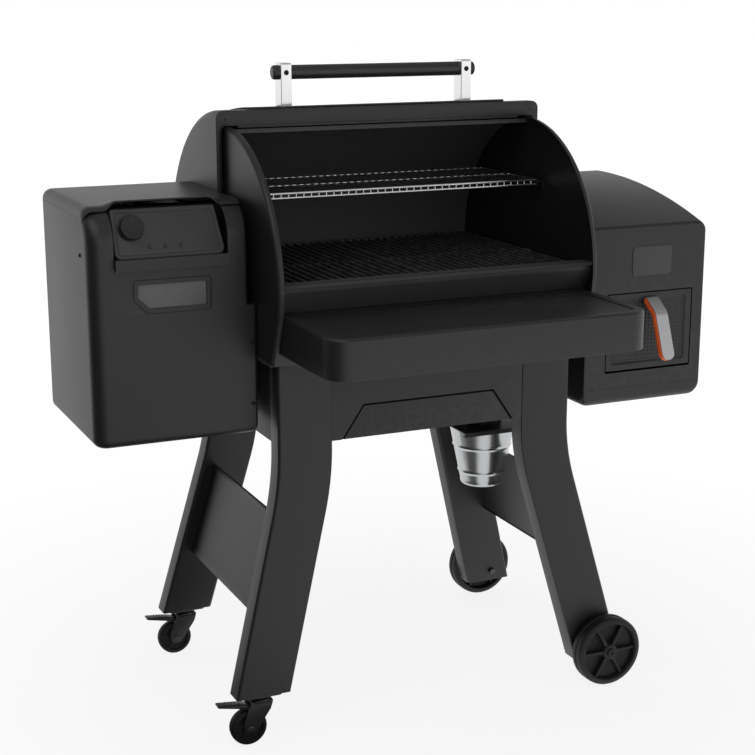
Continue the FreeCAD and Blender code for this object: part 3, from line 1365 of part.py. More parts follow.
def control_knob():
    """Round knob with a shaft that ends in a collar inside the pod."""
    cap = face_rod(knob_x, knob_z, 0.5, knob_r, knob_height)
    rim = [e for e in cap.Edges if len(e.Vertexes) == 1]
    top = max(rim, key=lambda e: (e.CenterOfMass - face_point(knob_x, knob_z)).dot(pod_out))
    cap = cap.makeFillet(2.5, [top])
    shaft = face_rod(knob_x, knob_z, -9, knob_shaft_r, 11)
    collar = face_rod(knob_x, knob_z, -9, knob_shaft_r + 3, 4)
    return join(cap, shaft, collar)


def button(x):
    cap = face_rod(x, button_z, -7, button_r, 7 + button_out)
    collar = face_rod(x, button_z, -7, button_r + 2, 2.4)
    return join(cap, collar)


# ---------------------------------------------------------------- side cabinet

def cabinet_top(t):
    """Arc of the bowed top, shrunk by t."""
    y = cabinet_y - t
    z0, z1 = cabinet_front_top - t, cabinet_back_top - t
    return Part.Arc(V(0, -y, z0), V(0, 0, (z0 + z1) / 2 + cabinet_mid_rise), V(0, y, z1)).toShape()


def cabinet_block(t):
    y, z = cabinet_y - t, cabinet_bottom + t
    top = cabinet_top(t)
    straight = Part.makePolygon([V(0, y, cabinet_back_top - t), V(0, y, z), V(0, -y, z),
                                 V(0, -y, cabinet_front_top - t)])
    face = Part.Face(Part.Wire([top] + straight.Edges))
    x0, x1 = cabinet_left + t, cabinet_right - t
    block = face.extrude(V(x1 - x0, 0, 0))
    block.translate(V(x0, 0, 0))
    block = block.makeFillet(cabinet_corner - t, vertical_edges(block, lambda x, y, z: True))
    bottom = edges_at(block, lambda x, y, z: abs(z - cabinet_bottom - t) < 0.01)
    return block.makeFillet(cabinet_edge - t, bottom)


door_face = -cabinet_y
door_pin_y = door_face + door_pin_back
door_pin_z = door_z0 + door_pin_up


def cabinet_housing():
    """Formed case with a door opening and two ears for the door's pin."""
    case = cabinet_block(0).cut(cabinet_block(sheet))
    hole = box(door_x0 - play, door_x1 + play, -cabinet_y - 1, -cabinet_y + sheet + 1,
               door_z0 - 2 * play, door_z1 + play)
    case = case.cut(hole)
    ears = []
    for x in (door_x0 - play - sheet - 4, door_x1 + play + 4):
        ear = box(x, x + sheet, -cabinet_y + sheet / 2, door_pin_y + 12, door_pin_z - 12, door_pin_z + 12)
        ears.append(ear.cut(rod((x - 1, door_pin_y, door_pin_z), (1, 0, 0), door_pin_r + run, 5)))
    keeper = box((door_x0 + door_x1) / 2 - 14, (door_x0 + door_x1) / 2 + 14, -cabinet_y + sheet / 2,
                 -cabinet_y + 9, door_z1 + play, door_z1 + play + sheet)
    return join(case, *ears, keeper)


def cabinet_door():
    """Drop-down door: tray-shaped sheet with folded edges and a pin tube along its lower edge."""
    x0, x1, z0, z1 = door_x0, door_x1, door_z0, door_z1
    y0, y1, t = door_face, door_face + door_fold, sheet
    shell = box(x0, x1, y0, y1, z0, z1)
    shell = shell.cut(box(x0 + t, x1 - t, y0 + t, y1 + 1, z0 + t, z1 - t))
    clip = box(x0 - 1, x1 + 1, door_pin_y - 1, y1 + 1, z0 - 1, door_pin_z + 6)
    shell = shell.cut(clip)
    barrel = rod((x0, door_pin_y, door_pin_z), (1, 0, 0), door_pin_r + 2.5, x1 - x0)
    tie = box(x0, x1, y0 + 0.5, door_pin_y, door_pin_z - 2, door_pin_z + 2)
    door = join(shell, barrel, tie)
    return door.cut(rod((x0 - 1, door_pin_y, door_pin_z), (1, 0, 0), door_pin_r + run, x1 - x0 + 2))


lever_mid = (door_x0 + door_x1) / 2 + 2


def lever_layer(start, thick, x0, x1):
    """One layer of the bent lever: its centre line moved back by start, thick deep."""
    (ya, za), (yb, zb), (yc, zc) = [(door_face - out, z) for out, z in lever_points]
    drop_a = math.atan2(za - zb, ya - yb)
    drop_b = math.atan2(zb - zc, yb - yc)

    def shifted(d):
        na = V(0, -math.sin(drop_a), math.cos(drop_a))
        nb = V(0, -math.sin(drop_b), math.cos(drop_b))
        bend = (na + nb).normalize() / math.cos((drop_b - drop_a) / 2)
        return [V(0, ya, za) - na * d, V(0, yb, zb) - bend * d, V(0, yc, zc) - nb * d]

    points = shifted(start) + list(reversed(shifted(start + thick)))
    bar = prism_x([(p.y, p.z) for p in points], x0, x1)
    r = (x1 - x0) / 2
    down = V(0, yc - yb, zc - zb).normalize()
    across = V(0, -math.sin(drop_b), math.cos(drop_b))
    centre = V((x0 + x1) / 2, yc, zc) - down * r
    end = Part.makeCylinder(r, 80, centre - across * 40, across)
    back = centre + across * 60
    front = centre - across * 60
    above = prism_x([(front.y, front.z), (back.y, back.z), (back.y - down.y * 300, back.z - down.z * 300),
                     (front.y - down.y * 300, front.z - down.z * 300)], x0, x1)
    return bar.common(above.fuse(end))


def lever_arm():
    """Bright front plate of the lever."""
    return lever_layer(0, lever_plate, lever_mid - lever_width / 2 + 2, lever_mid + lever_width / 2 - 2)


def lever_core():
    """Coloured edge and dark back of the lever in one moulding, with its foot on the door."""
    x0, x1 = lever_mid - lever_width / 2, lever_mid + lever_width / 2
    core = lever_layer(lever_plate + 0.1, lever_trim + lever_back, x0, x1)
    top = lever_points[0][1] - lever_plate
    foot = prism_x([(door_face - seat, top - lever_boss), (door_face - seat, top),
                    (door_face - lever_points[0][0], top - 2),
                    (door_face - lever_boss, top - lever_boss + 4)], x0 + 3, x1 - 3)
    behind = box(x0 - 1, x1 + 1, door_face - seat, door_face + 30, lever_points[1][1] - 40,
                 lever_points[0][1] + 20)
    return join(core, foot).cut(behind)


def cabinet_spacers():
    """Four tubes between the right end wall and the cabinet, below the lid's sweep."""
    return Part.makeCompound([rod((drum_half + seat, s * spacer_y, z), (1, 0, 0), spacer_r,
                                  cabinet_left - drum_half - 2 * seat)
                              for s in (-1, 1) for z in spacer_z])


# ---------------------------------------------------------------- front shelf

def front_shelf():
    """Tray pressed from sheet: rounded corners, shallow dish on top, open below."""
    x, r, t = shelf_half, shelf_corner, sheet
    outer = rounded_block(-x, x, -shelf_front, -shelf_back, shelf_bottom, shelf_top, r)
    edge = edges_at(outer, lambda px, py, pz: abs(pz - shelf_top) < 0.01)
    outer = outer.makeFillet(3.0, edge)
    inner = rounded_block(-x + t, x - t, -shelf_front + t, -shelf_back - t, shelf_bottom - 1, shelf_top - t,
                          r - t)
    m = dish_margin
    dish = rounded_block(-x + m, x - m, -shelf_front + m, -shelf_back - m / 2, shelf_top - dish_depth,
                         shelf_top + 1, r - m / 2)
    boss = rounded_block(-x + m - t, x - m + t, -shelf_front + m - t, -shelf_back - m / 2 + t,
                         shelf_top - dish_depth - t, shelf_top, r - m / 2 + t)
    shelf = outer.cut(inner.cut(boss)).cut(dish)
    for s in (1, -1):
        shelf = shelf.cut(box(s * arm_x - arm_thick, s * arm_x + arm_thick, -shelf_back - t - 1, -shelf_back + 1,
                              shelf_bottom - 1, shelf_top - dish_depth - t))
    return shelf


def shelf_brackets():
    """Two arms bolted to the chamber's front that reach under the shelf."""
    arms = []
    y0 = -panel_y - seat
    z1 = shelf_top - dish_depth - sheet - seat
    for s in (1, -1):
        x = s * arm_x
        web = prism_x([(y0, z1), (-arm_front, z1), (-arm_front, z1 - 14), (y0, z1 - arm_height)],
                      x - arm_thick / 2, x + arm_thick / 2)
        plate = box(x - arm_flange / 2, x + arm_flange / 2, y0 - sheet, y0, z1 - arm_height, z1)
        pad = box(x - arm_flange / 2, x + arm_flange / 2, -arm_front, -shelf_back - sheet - 3, z1 - sheet, z1)
        arms.append(join(web, plate, pad))
    return Part.makeCompound(arms)


# ---------------------------------------------------------------- fasteners

def body_screws():
    """Visible screws of the hopper and the legs, each a head with a short shank."""
    side_x = -hopper_right - hopper_seam - screw_r
    spots = [((side_x, -hopper_y, axis_z - front_screw_down), (0, -1, 0)),
             ((side_x, -hopper_y, hopper_bottom + front_screw_up), (0, -1, 0)),
             ((-hopper_left, -hopper_y + hopper_brow, hopper_top - screw_down), (-1, 0, 0))]
    screws = []
    for (x, y, z), (dx, dy, dz) in spots:
        start = V(x, y, z) + V(dx, dy, dz) * seat
        head = Part.makeCylinder(screw_r, screw_head, start, V(dx, dy, dz))
        edge = [e for e in head.Edges if len(e.Vertexes) == 1]
        far = max(edge, key=lambda e: (e.CenterOfMass - start).dot(V(dx, dy, dz)))
        screws.append(head.makeFillet(1.2, [far]))
    return Part.makeCompound(screws)


def parts():
    """Every node of the grill by name."""
    made = {
        "leg_front_left": caster_leg(True), "leg_back_left": caster_leg(False),
        "leg_front_right": wheel_leg(True), "leg_back_right": wheel_leg(False),
        "frame_rails": frame_rails(), "side_braces": side_braces(),
        "caster_plates": caster_plates(), "axle_bolts": axle_bolts(),
        "wheel_front": cart_wheel(True), "wheel_back": cart_wheel(False),
        "chamber_body": chamber_body(), "end_wall_left": end_wall("left"), "end_wall_right": end_wall("right"),
        "drain_pan": drain_pan(), "drain_collar": drain_collar(), "drip_cup": drip_cup(),
        "exhaust_hood": exhaust_hood(),
        "lid_shell": lid_shell(), "lid_pivots": lid_pivots(), "handle_strip": handle_strip(),
        "handle_posts": handle_posts(), "handle_bar": handle_bar(),
        "grate_left": grate("left"), "grate_right": grate("right"), "warming_rack": warming_rack(),
        "drip_tray": drip_tray(), "heat_baffle": heat_baffle(), "burn_pot": burn_pot(),
        "igniter_rod": igniter_rod(), "temperature_probe": temperature_probe(),
        "feed_tubes": Part.makeCompound([auger_tube(), air_tube()]), "auger_screw": auger_screw(),
        "auger_motor": auger_motor(), "fan_housing": fan_housing(), "fan_impeller": fan_impeller(),
        "hopper_housing": hopper_housing(), "hopper_lid": hopper_lid(), "hopper_bin": hopper_bin(),
        "pellet_window": pellet_window(), "power_inlet": power_inlet(), "hinge_pins": hinge_pins(),
        "control_pod": control_pod(), "control_knob": control_knob(),
        "cabinet_housing": cabinet_housing(), "cabinet_door": cabinet_door(), "lever_arm": lever_arm(),
        "lever_core": lever_core(), "cabinet_spacers": cabinet_spacers(),
        "front_shelf": front_shelf(), "shelf_brackets": shelf_brackets(), "body_screws": body_screws(),
    }
    for number, x in enumerate(button_x, start=1):
        made["button_%d" % number] = button(x)
    for name, front in (("front", True), ("back", False)):
        made["caster_fork_" + name] = caster_fork(front)
        made["caster_wheel_" + name] = caster_wheel(front)
        made["caster_pedal_" + name] = caster_pedal(front)
    return made


def place(shape):
    moved = shape.copy()
    moved.translate(origin)
    return moved


def main():
    os.makedirs("parts", exist_ok=True)
    for name, shape in parts().items():
        place(shape).exportStep("parts/%s.step" % name)


main()
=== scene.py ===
# Pellet smoker grill with its lid open, on a splayed cart.
# Lengths in the dictionaries are millimetres, measured from the middle of the four legs: x to the right,
# y to the back, z up from the floor. place() turns them into the frame's metres, unplace() turns them back.
import bpy
import bmesh
import math
import numpy as np
from mathutils import Matrix, Vector


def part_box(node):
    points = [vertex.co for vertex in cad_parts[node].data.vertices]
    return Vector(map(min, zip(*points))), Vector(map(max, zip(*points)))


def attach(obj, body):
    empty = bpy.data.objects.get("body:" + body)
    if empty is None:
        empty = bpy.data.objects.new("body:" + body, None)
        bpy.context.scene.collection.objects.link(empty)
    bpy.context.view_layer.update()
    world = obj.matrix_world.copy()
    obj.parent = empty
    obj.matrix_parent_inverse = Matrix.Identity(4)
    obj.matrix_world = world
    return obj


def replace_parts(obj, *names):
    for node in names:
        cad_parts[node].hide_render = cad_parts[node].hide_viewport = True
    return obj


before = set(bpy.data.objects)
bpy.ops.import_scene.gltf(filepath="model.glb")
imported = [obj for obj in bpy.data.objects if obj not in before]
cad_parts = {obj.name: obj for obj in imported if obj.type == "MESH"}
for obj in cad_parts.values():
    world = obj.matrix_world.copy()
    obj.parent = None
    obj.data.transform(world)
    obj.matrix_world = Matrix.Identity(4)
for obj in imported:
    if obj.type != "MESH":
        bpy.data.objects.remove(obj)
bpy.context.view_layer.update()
lidLow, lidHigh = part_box("lid_shell")
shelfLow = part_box("front_shelf")[0]
shelfReach = 515.0  # from the middle of the legs to the front of the shelf
frameShift = np.array([(lidLow.x + lidHigh.x) / 2, shelfLow.y + shelfReach * 0.001, 0.0])
print("frame loaded:", len(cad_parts), "nodes")


def place(points):
    return np.asarray(points, float) * 0.001 + frameShift


def unplace(points):
    return (np.asarray(points, float) - frameShift) * 1000


def nodeBox(node):
    low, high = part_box(node)
    return unplace(low), unplace(high)


def addObject(name, data):
    thing = bpy.data.objects.new(name, data)
    bpy.context.scene.collection.objects.link(thing)
    return thing


def newGroup(name, inputs, outputs):
    group = bpy.data.node_groups.new(name, "ShaderNodeTree")
    for title, kind, value in inputs:
        socket = group.interface.new_socket(name=title, in_out="INPUT", socket_type=kind)
        socket.default_value = value
    for title, kind in outputs:
        group.interface.new_socket(name=title, in_out="OUTPUT", socket_type=kind)
    return group, group.nodes.new("NodeGroupInput"), group.nodes.new("NodeGroupOutput")


def mathNode(tree, operation, a, b=None, clamp=False):
    node = tree.nodes.new("ShaderNodeMath")
    node.operation, node.use_clamp = operation, clamp
    for socket, value in zip(node.inputs, (a, b)):
        if value is None:
            continue
        if isinstance(value, (int, float)):
            socket.default_value = value
        else:
            tree.links.new(value, socket)
    return node.outputs[0]


def noiseNode(tree, vector, scale, detail=3.0, roughness=0.5):
    node = tree.nodes.new("ShaderNodeTexNoise")
    node.inputs["Scale"].default_value = scale
    node.inputs["Detail"].default_value = detail
    node.inputs["Roughness"].default_value = roughness
    tree.links.new(vector, node.inputs["Vector"])
    return node.outputs["Fac"]


def rampNode(tree, factor, stops):
    node = tree.nodes.new("ShaderNodeValToRGB")
    ramp = node.color_ramp
    while len(ramp.elements) < len(stops):
        ramp.elements.new(0.5)
    for element, (at, grey) in zip(ramp.elements, stops):
        element.position = at
        element.color = (grey, grey, grey, 1)
    tree.links.new(factor, node.inputs["Fac"])
    return node.outputs["Color"]


def blendColors(tree, factor, first, second):
    node = tree.nodes.new("ShaderNodeMix")
    node.data_type = "RGBA"
    for socket, value in ((node.inputs[0], factor), (node.inputs[6], first), (node.inputs[7], second)):
        if isinstance(value, (int, float, tuple)):
            socket.default_value = value
        else:
            tree.links.new(value, socket)
    return node.outputs[2]


def buildCoatGroup():
    # powder coat: orange-peel height, roughness that drifts slowly, and thin settled dust on top faces
    group, source, sink = newGroup("powderGrain", [
        ("Vector", "NodeSocketVector", (0, 0, 0)), ("Color", "NodeSocketColor", (0.02, 0.02, 0.02, 1)),
        ("Roughness", "NodeSocketFloat", 0.45), ("Peel", "NodeSocketFloat", 900.0), ("Dust", "NodeSocketFloat", 0.02)],
        [("Color", "NodeSocketColor"), ("Roughness", "NodeSocketFloat"), ("Height", "NodeSocketFloat")])
    link = group.links.new
    fine = group.nodes.new("ShaderNodeTexNoise")
    link(source.outputs["Vector"], fine.inputs["Vector"])
    link(source.outputs["Peel"], fine.inputs["Scale"])
    fine.inputs["Detail"].default_value = 2.0
    cloud = noiseNode(group, source.outputs["Vector"], 3.5, 4.0)
    speck = noiseNode(group, source.outputs["Vector"], 240.0, 2.0)
    drift = mathNode(group, "MULTIPLY", mathNode(group, "SUBTRACT", cloud, 0.5), 0.10)
    fleck = mathNode(group, "MULTIPLY", mathNode(group, "SUBTRACT", speck, 0.5), 0.08)
    rough = mathNode(group, "ADD", mathNode(group, "ADD", source.outputs["Roughness"], drift), fleck, True)
    geometry = group.nodes.new("ShaderNodeNewGeometry")
    split = group.nodes.new("ShaderNodeSeparateXYZ")
    link(geometry.outputs["Normal"], split.inputs[0])
    upward = mathNode(group, "POWER", mathNode(group, "MAXIMUM", split.outputs["Z"], 0.0), 2.0)
    film = mathNode(group, "MULTIPLY", mathNode(group, "MULTIPLY", upward, cloud), source.outputs["Dust"], True)
    dusty = blendColors(group, film, source.outputs["Color"], (0.45, 0.44, 0.42, 1))
    tone = mathNode(group, "ADD", mathNode(group, "MULTIPLY", speck, 0.3), 0.85)
    shade = group.nodes.new("ShaderNodeVectorMath")
    shade.operation = "SCALE"
    link(dusty, shade.inputs[0])
    link(tone, shade.inputs["Scale"])
    link(shade.outputs[0], sink.inputs["Color"])
    link(rough, sink.inputs["Roughness"])
    link(fine.outputs["Fac"], sink.inputs["Height"])
    return group


def buildWearGroup():
    # bare or worn edges: 1 on sharp outer edges, broken up by noise
    group, source, sink = newGroup("edgeWear", [
        ("Vector", "NodeSocketVector", (0, 0, 0)), ("Amount", "NodeSocketFloat", 0.3)],
        [("Mask", "NodeSocketFloat")])
    geometry = group.nodes.new("ShaderNodeNewGeometry")
    patchy = noiseNode(group, source.outputs["Vector"], 60.0, 4.0, 0.7)
    edge = rampNode(group, geometry.outputs["Pointiness"], [(0.52, 0.0), (0.60, 1.0)])
    broken = rampNode(group, patchy, [(0.45, 0.0), (0.62, 1.0)])
    worn = mathNode(group, "MULTIPLY", mathNode(group, "MULTIPLY", edge, broken), source.outputs["Amount"], True)
    group.links.new(worn, sink.inputs["Mask"])
    return group


def buildBrushGroup():
    # brushed or rolled metal: streaks along one direction plus smudges
    group, source, sink = newGroup("metalGrain", [
        ("Vector", "NodeSocketVector", (0, 0, 0)), ("Along", "NodeSocketVector", (20, 1600, 1600)),
        ("Roughness", "NodeSocketFloat", 0.25)],
        [("Tone", "NodeSocketFloat"), ("Roughness", "NodeSocketFloat"), ("Height", "NodeSocketFloat")])
    stretch = group.nodes.new("ShaderNodeVectorMath")
    stretch.operation = "MULTIPLY"
    group.links.new(source.outputs["Vector"], stretch.inputs[0])
    group.links.new(source.outputs["Along"], stretch.inputs[1])
    streak = noiseNode(group, stretch.outputs[0], 1.0, 3.0, 0.6)
    smudge = noiseNode(group, source.outputs["Vector"], 18.0, 4.0)
    tone = mathNode(group, "ADD", mathNode(group, "MULTIPLY", streak, 0.25), 0.86)
    change = mathNode(group, "MULTIPLY", mathNode(group, "SUBTRACT", smudge, 0.4), 0.25)
    group.links.new(tone, sink.inputs["Tone"])
    group.links.new(mathNode(group, "ADD", source.outputs["Roughness"], change, True), sink.inputs["Roughness"])
    group.links.new(streak, sink.inputs["Height"])
    return group


coatGroup, wearGroup, brushGroup = buildCoatGroup(), buildWearGroup(), buildBrushGroup()


def newMaterial(name):
    material = bpy.data.materials.new(name)
    material.use_nodes = True
    tree = material.node_tree
    shader = tree.nodes["Principled BSDF"]
    where = tree.nodes.new("ShaderNodeTexCoord").outputs["Object"]
    return material, tree, shader, where


def groupNode(tree, group, where, **values):
    node = tree.nodes.new("ShaderNodeGroup")
    node.node_tree = group
    tree.links.new(where, node.inputs["Vector"])
    for title, value in values.items():
        node.inputs[title].default_value = value
    return node


def bumpNode(tree, shader, height, strength, distance):
    bump = tree.nodes.new("ShaderNodeBump")
    bump.inputs["Strength"].default_value = strength
    bump.inputs["Distance"].default_value = distance
    tree.links.new(height, bump.inputs["Height"])
    tree.links.new(bump.outputs[0], shader.inputs["Normal"])


def coatMaterial(name, color, roughness, peel=900.0, dust=0.02, bump=0.10, wear=0.25, worn=(0.09, 0.09, 0.09, 1),
                 specular=0.5):
    material, tree, shader, where = newMaterial(name)
    coat = groupNode(tree, coatGroup, where, Color=(*color, 1), Roughness=roughness, Peel=peel, Dust=dust)
    edge = groupNode(tree, wearGroup, where, Amount=wear)
    tree.links.new(blendColors(tree, edge.outputs["Mask"], coat.outputs["Color"], worn), shader.inputs["Base Color"])
    tree.links.new(coat.outputs["Roughness"], shader.inputs["Roughness"])
    shader.inputs["Specular IOR Level"].default_value = specular
    bumpNode(tree, shader, coat.outputs["Height"], bump, 0.0004)
    return material


def metalMaterial(name, color, roughness, along, bump=0.05):
    material, tree, shader, where = newMaterial(name)
    grain = groupNode(tree, brushGroup, where, Along=along, Roughness=roughness)
    tone = tree.nodes.new("ShaderNodeVectorMath")
    tone.operation = "SCALE"
    tone.inputs[0].default_value = color
    tree.links.new(grain.outputs["Tone"], tone.inputs["Scale"])
    tree.links.new(tone.outputs[0], shader.inputs["Base Color"])
    tree.links.new(grain.outputs["Roughness"], shader.inputs["Roughness"])
    shader.inputs["Metallic"].default_value = 1.0
    bumpNode(tree, shader, grain.outputs["Height"], bump, 0.0002)
    return material


blackCoat = coatMaterial("satinBlackCoat", (0.011, 0.011, 0.0114), 0.42)
# inside enamel whose grey is partly painted light: set well above the outer coat to stand in for light that does not
# reach inside the drum
enamelWithPaintedLight = coatMaterial("ovenEnamelWithPaintedLight", (0.055, 0.054, 0.053), 0.6, peel=500.0, dust=0.0, wear=0.1)
# painted shade: a near-black dull coat on the apron's groove and inside the hopper's well, standing in for the shadow
# there
paintedShade = coatMaterial("paintedShadeCoat", (0.004, 0.004, 0.004), 0.8, peel=600.0, dust=0.0, wear=0.0, specular=0.1)
ironCoat = coatMaterial("castGrate", (0.022, 0.021, 0.020), 0.5, peel=260.0, dust=0.01, bump=0.45, wear=0.5)
blackPlastic = coatMaterial("blackMoulding", (0.017, 0.017, 0.0175), 0.38, peel=1500.0, dust=0.02, wear=0.1)
podCoat = coatMaterial("podMoulding", (0.030, 0.030, 0.031), 0.40, peel=1500.0, dust=0.02, wear=0.1)
knobBlack = coatMaterial("knobMoulding", (0.013, 0.013, 0.0133), 0.45, peel=1500.0, dust=0.02, wear=0.1, specular=0.35)
wheelBlack = coatMaterial("wheelMoulding", (0.012, 0.012, 0.0122), 0.5, peel=1500.0, dust=0.01, wear=0.1, specular=0.28)
softBlack = coatMaterial("tyreRubber", (0.008, 0.008, 0.008), 0.6, peel=700.0, dust=0.03, wear=0.2, specular=0.25)
barBlack = coatMaterial("handleBlack", (0.020, 0.020, 0.020), 0.33, peel=1200.0, dust=0.02, wear=0.1)
orangeTrim = coatMaterial("orangeTrim", (0.95, 0.15, 0.03), 0.38, peel=1400.0, dust=0.0, bump=0.04, wear=0.15,
                          worn=(0.95, 0.35, 0.2, 1))
badgeCoat = coatMaterial("badgePlate", (0.035, 0.035, 0.036), 0.34, peel=1200.0, dust=0.0, wear=0.0)
brightSteel = metalMaterial("brushedStainless", (0.92, 0.92, 0.93), 0.24, (1500, 1500, 25))
leverSteel = metalMaterial("leverStainless", (0.56, 0.56, 0.57), 0.26, (1500, 1500, 25))
wireChrome = metalMaterial("chromedWire", (0.75, 0.75, 0.76), 0.2, (90, 90, 90), bump=0.02)
zincSheet = metalMaterial("zincPlate", (0.56, 0.57, 0.58), 0.22, (60, 60, 900))
darkSteel = metalMaterial("darkSteel", (0.09, 0.09, 0.093), 0.4, (700, 700, 700))


def glassMaterial():
    # smoked glazing seen from outside: dark and half dull, with slow smears
    material, tree, shader, where = newMaterial("smokedGlazing")
    smear = noiseNode(tree, where, 30.0, 3.0)
    tree.links.new(rampNode(tree, smear, [(0.3, 0.34), (0.7, 0.46)]), shader.inputs["Roughness"])
    tree.links.new(blendColors(tree, rampNode(tree, smear, [(0.35, 0.0), (0.7, 1.0)]), (0.075, 0.075, 0.077, 1),
                               (0.095, 0.095, 0.097, 1)), shader.inputs["Base Color"])
    shader.inputs["Coat Weight"].default_value = 0.3
    shader.inputs["Coat Roughness"].default_value = 0.3
    return material


smokedGlass = glassMaterial()
print("materials ready")


def gridFaces(rows, columns, closeRows=False, closeColumns=False):
    a, b = np.meshgrid(np.arange(rows if closeRows else rows - 1),
                       np.arange(columns if closeColumns else columns - 1), indexing="ij")
    c, d = (a + 1) % rows, (b + 1) % columns
    quads = np.stack([a * columns + b, c * columns + b, c * columns + d, a * columns + d], -1)
    return quads.reshape(-1, 4).tolist()


def makePiece(name, verts, faces, sharpAngle=32.0, closed=True, material=blackCoat, body=None):
    # a mesh from points in millimetres; a closed skin has its faces turned outwards
    mesh = bpy.data.meshes.new(name)
    mesh.from_pydata(place(verts).tolist(), [], faces)
    piece = addObject(name, mesh)
    work = bmesh.new()
    work.from_mesh(mesh)
    bmesh.ops.remove_doubles(work, verts=work.verts, dist=1e-7)
    if closed:
        bmesh.ops.recalc_face_normals(work, faces=work.faces)
    work.to_mesh(mesh)
    work.free()
    mesh.materials.append(material)
    smoothBy(piece, sharpAngle)
    if body:
        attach(piece, body)
    return piece


def smoothBy(piece, angle):
    mesh = piece.data
    mesh.polygons.foreach_set("use_smooth", np.ones(len(mesh.polygons), bool))
    mesh.set_sharp_from_angle(angle=math.radians(angle))
    mesh.update()


def applyModifiers(piece, angle=32.0):
    graph = bpy.context.evaluated_depsgraph_get()
    solved = bpy.data.meshes.new_from_object(piece.evaluated_get(graph))
    piece.modifiers.clear()
    old, piece.data = piece.data, solved
    solved.name = piece.name
    bpy.data.meshes.remove(old)
    smoothBy(piece, angle)
    return piece


def thicken(piece, wall, offset=-1.0, angle=32.0):
    modifier = piece.modifiers.new("wall", "SOLIDIFY")
    modifier.thickness, modifier.offset = wall * 0.001, offset
    modifier.use_even_offset = True
    return applyModifiers(piece, angle)


def softEdges(piece, width, segments=2, angle=40.0):
    modifier = piece.modifiers.new("edges", "BEVEL")
    modifier.width, modifier.segments = width * 0.001, segments
    modifier.limit_method, modifier.angle_limit = "ANGLE", math.radians(angle)
    modifier.use_clamp_overlap = True
    return applyModifiers(piece, 40.0)


def carve(piece, cutters, angle=32.0):
    # takes the cutters out of a piece one after another, then removes them
    for cutter in cutters:
        modifier = piece.modifiers.new("cut", "BOOLEAN")
        modifier.operation, modifier.solver, modifier.object = "DIFFERENCE", "EXACT", cutter
    applyModifiers(piece, angle)
    for cutter in cutters:
        bpy.data.objects.remove(cutter, do_unlink=True)
    return piece


def joinPieces(name, pieces, body):
    # several meshes become one object; each keeps its own materials
    work = bmesh.new()
    slots = []
    for piece in pieces:
        start = len(work.faces)
        work.from_mesh(piece.data)
        work.faces.ensure_lookup_table()
        finishes = list(piece.data.materials)
        slots += [finish for finish in finishes if finish not in slots]
        for face in work.faces[start:]:
            face.material_index = slots.index(finishes[face.material_index])
    mesh = bpy.data.meshes.new(name)
    work.to_mesh(mesh)
    work.free()
    for finish in slots:
        mesh.materials.append(finish)
    whole = addObject(name, mesh)
    for piece in pieces:
        bpy.data.objects.remove(piece, do_unlink=True)
    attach(whole, body)
    return whole


def faceAway(piece, point):
    # turns an open sheet so that its faces look away from a point inside the part
    mesh = piece.data
    centre = Vector(place(point))
    vote = sum((Vector(face.center) - centre).dot(face.normal) * face.area for face in mesh.polygons)
    if vote < 0:
        mesh.flip_normals()
    return piece


def smoothStep(t):
    t = np.clip(t, 0, 1)
    return t * t * (3 - 2 * t)


def cornerArc(start, end, centre, angle, steps):
    # points from start to end round a centre: the two spokes mixed by the sines of their shares of the angle
    t = np.linspace(0, 1, steps)[:, None]
    return centre + (np.sin((1 - t) * angle) * (start - centre) + np.sin(t * angle) * (end - centre)) / np.sin(angle)


def filletLoop(points, radii, inset=0.0, steps=6):
    # closed outline: edges moved inwards by inset, each corner rounded with its radius less the inset
    p = np.asarray(points, float)
    edge = np.roll(p, -1, 0) - p
    edge /= np.linalg.norm(edge, axis=1)[:, None]
    area = np.sum(p[:, 0] * np.roll(p[:, 1], -1) - np.roll(p[:, 0], -1) * p[:, 1])
    turn = 1.0 if area > 0 else -1.0
    inward = turn * np.stack([-edge[:, 1], edge[:, 0]], -1)
    before, inwardBefore = np.roll(edge, 1, 0), np.roll(inward, 1, 0)
    share = 1.0 + np.sum(inwardBefore * inward, 1)
    corner = p + (inwardBefore + inward) * (inset / share)[:, None]
    bend = before[:, 0] * edge[:, 1] - before[:, 1] * edge[:, 0]
    convex = np.sign(bend) * turn
    r = np.maximum(np.asarray(radii, float) - convex * inset, 0.25)
    half = np.arccos(np.clip(np.sum(before * edge, 1), -1, 1)) / 2
    reach = r * np.tan(half)
    loop = []
    for i in range(len(p)):
        start, end = corner[i] - before[i] * reach[i], corner[i] + edge[i] * reach[i]
        if 2 * half[i] < 1e-3:
            loop.append(start + (end - start) * np.linspace(0, 1, steps)[:, None])
        else:
            centre = start + inwardBefore[i] * convex[i] * r[i]
            loop.append(cornerArc(start, end, centre, 2 * half[i], steps))
    return np.concatenate(loop)


def roundedPath(points, radii, steps=6):
    # open path with each inner corner replaced by an arc of its radius
    p = np.asarray(points, float)
    out = [p[:1]]
    for i in range(1, len(p) - 1):
        a, b = p[i] - p[i - 1], p[i + 1] - p[i]
        a, b = a / np.linalg.norm(a), b / np.linalg.norm(b)
        angle = np.arccos(np.clip(a @ b, -1, 1))
        if angle < 1e-4 or radii[i] < 0.05:
            out.append(p[i:i + 1])
            continue
        reach = radii[i] * np.tan(angle / 2)
        start, end = p[i] - a * reach, p[i] + b * reach
        centre = p[i] + (b - a) / np.linalg.norm(b - a) * radii[i] / np.cos(angle / 2)
        out.append(cornerArc(start, end, centre, angle, steps))
    out.append(p[-1:])
    return np.concatenate(out)


def lift(loop, axis, at):
    # puts a flat outline into space: axis x takes (y, z), axis y takes (x, z), axis z takes (x, y)
    column = np.full(len(loop), float(at)) if np.isscalar(at) else np.asarray(at, float)
    order = {"x": (column, loop[:, 0], loop[:, 1]), "y": (loop[:, 0], column, loop[:, 1]),
             "z": (loop[:, 0], loop[:, 1], column)}[axis]
    return np.stack(order, -1)


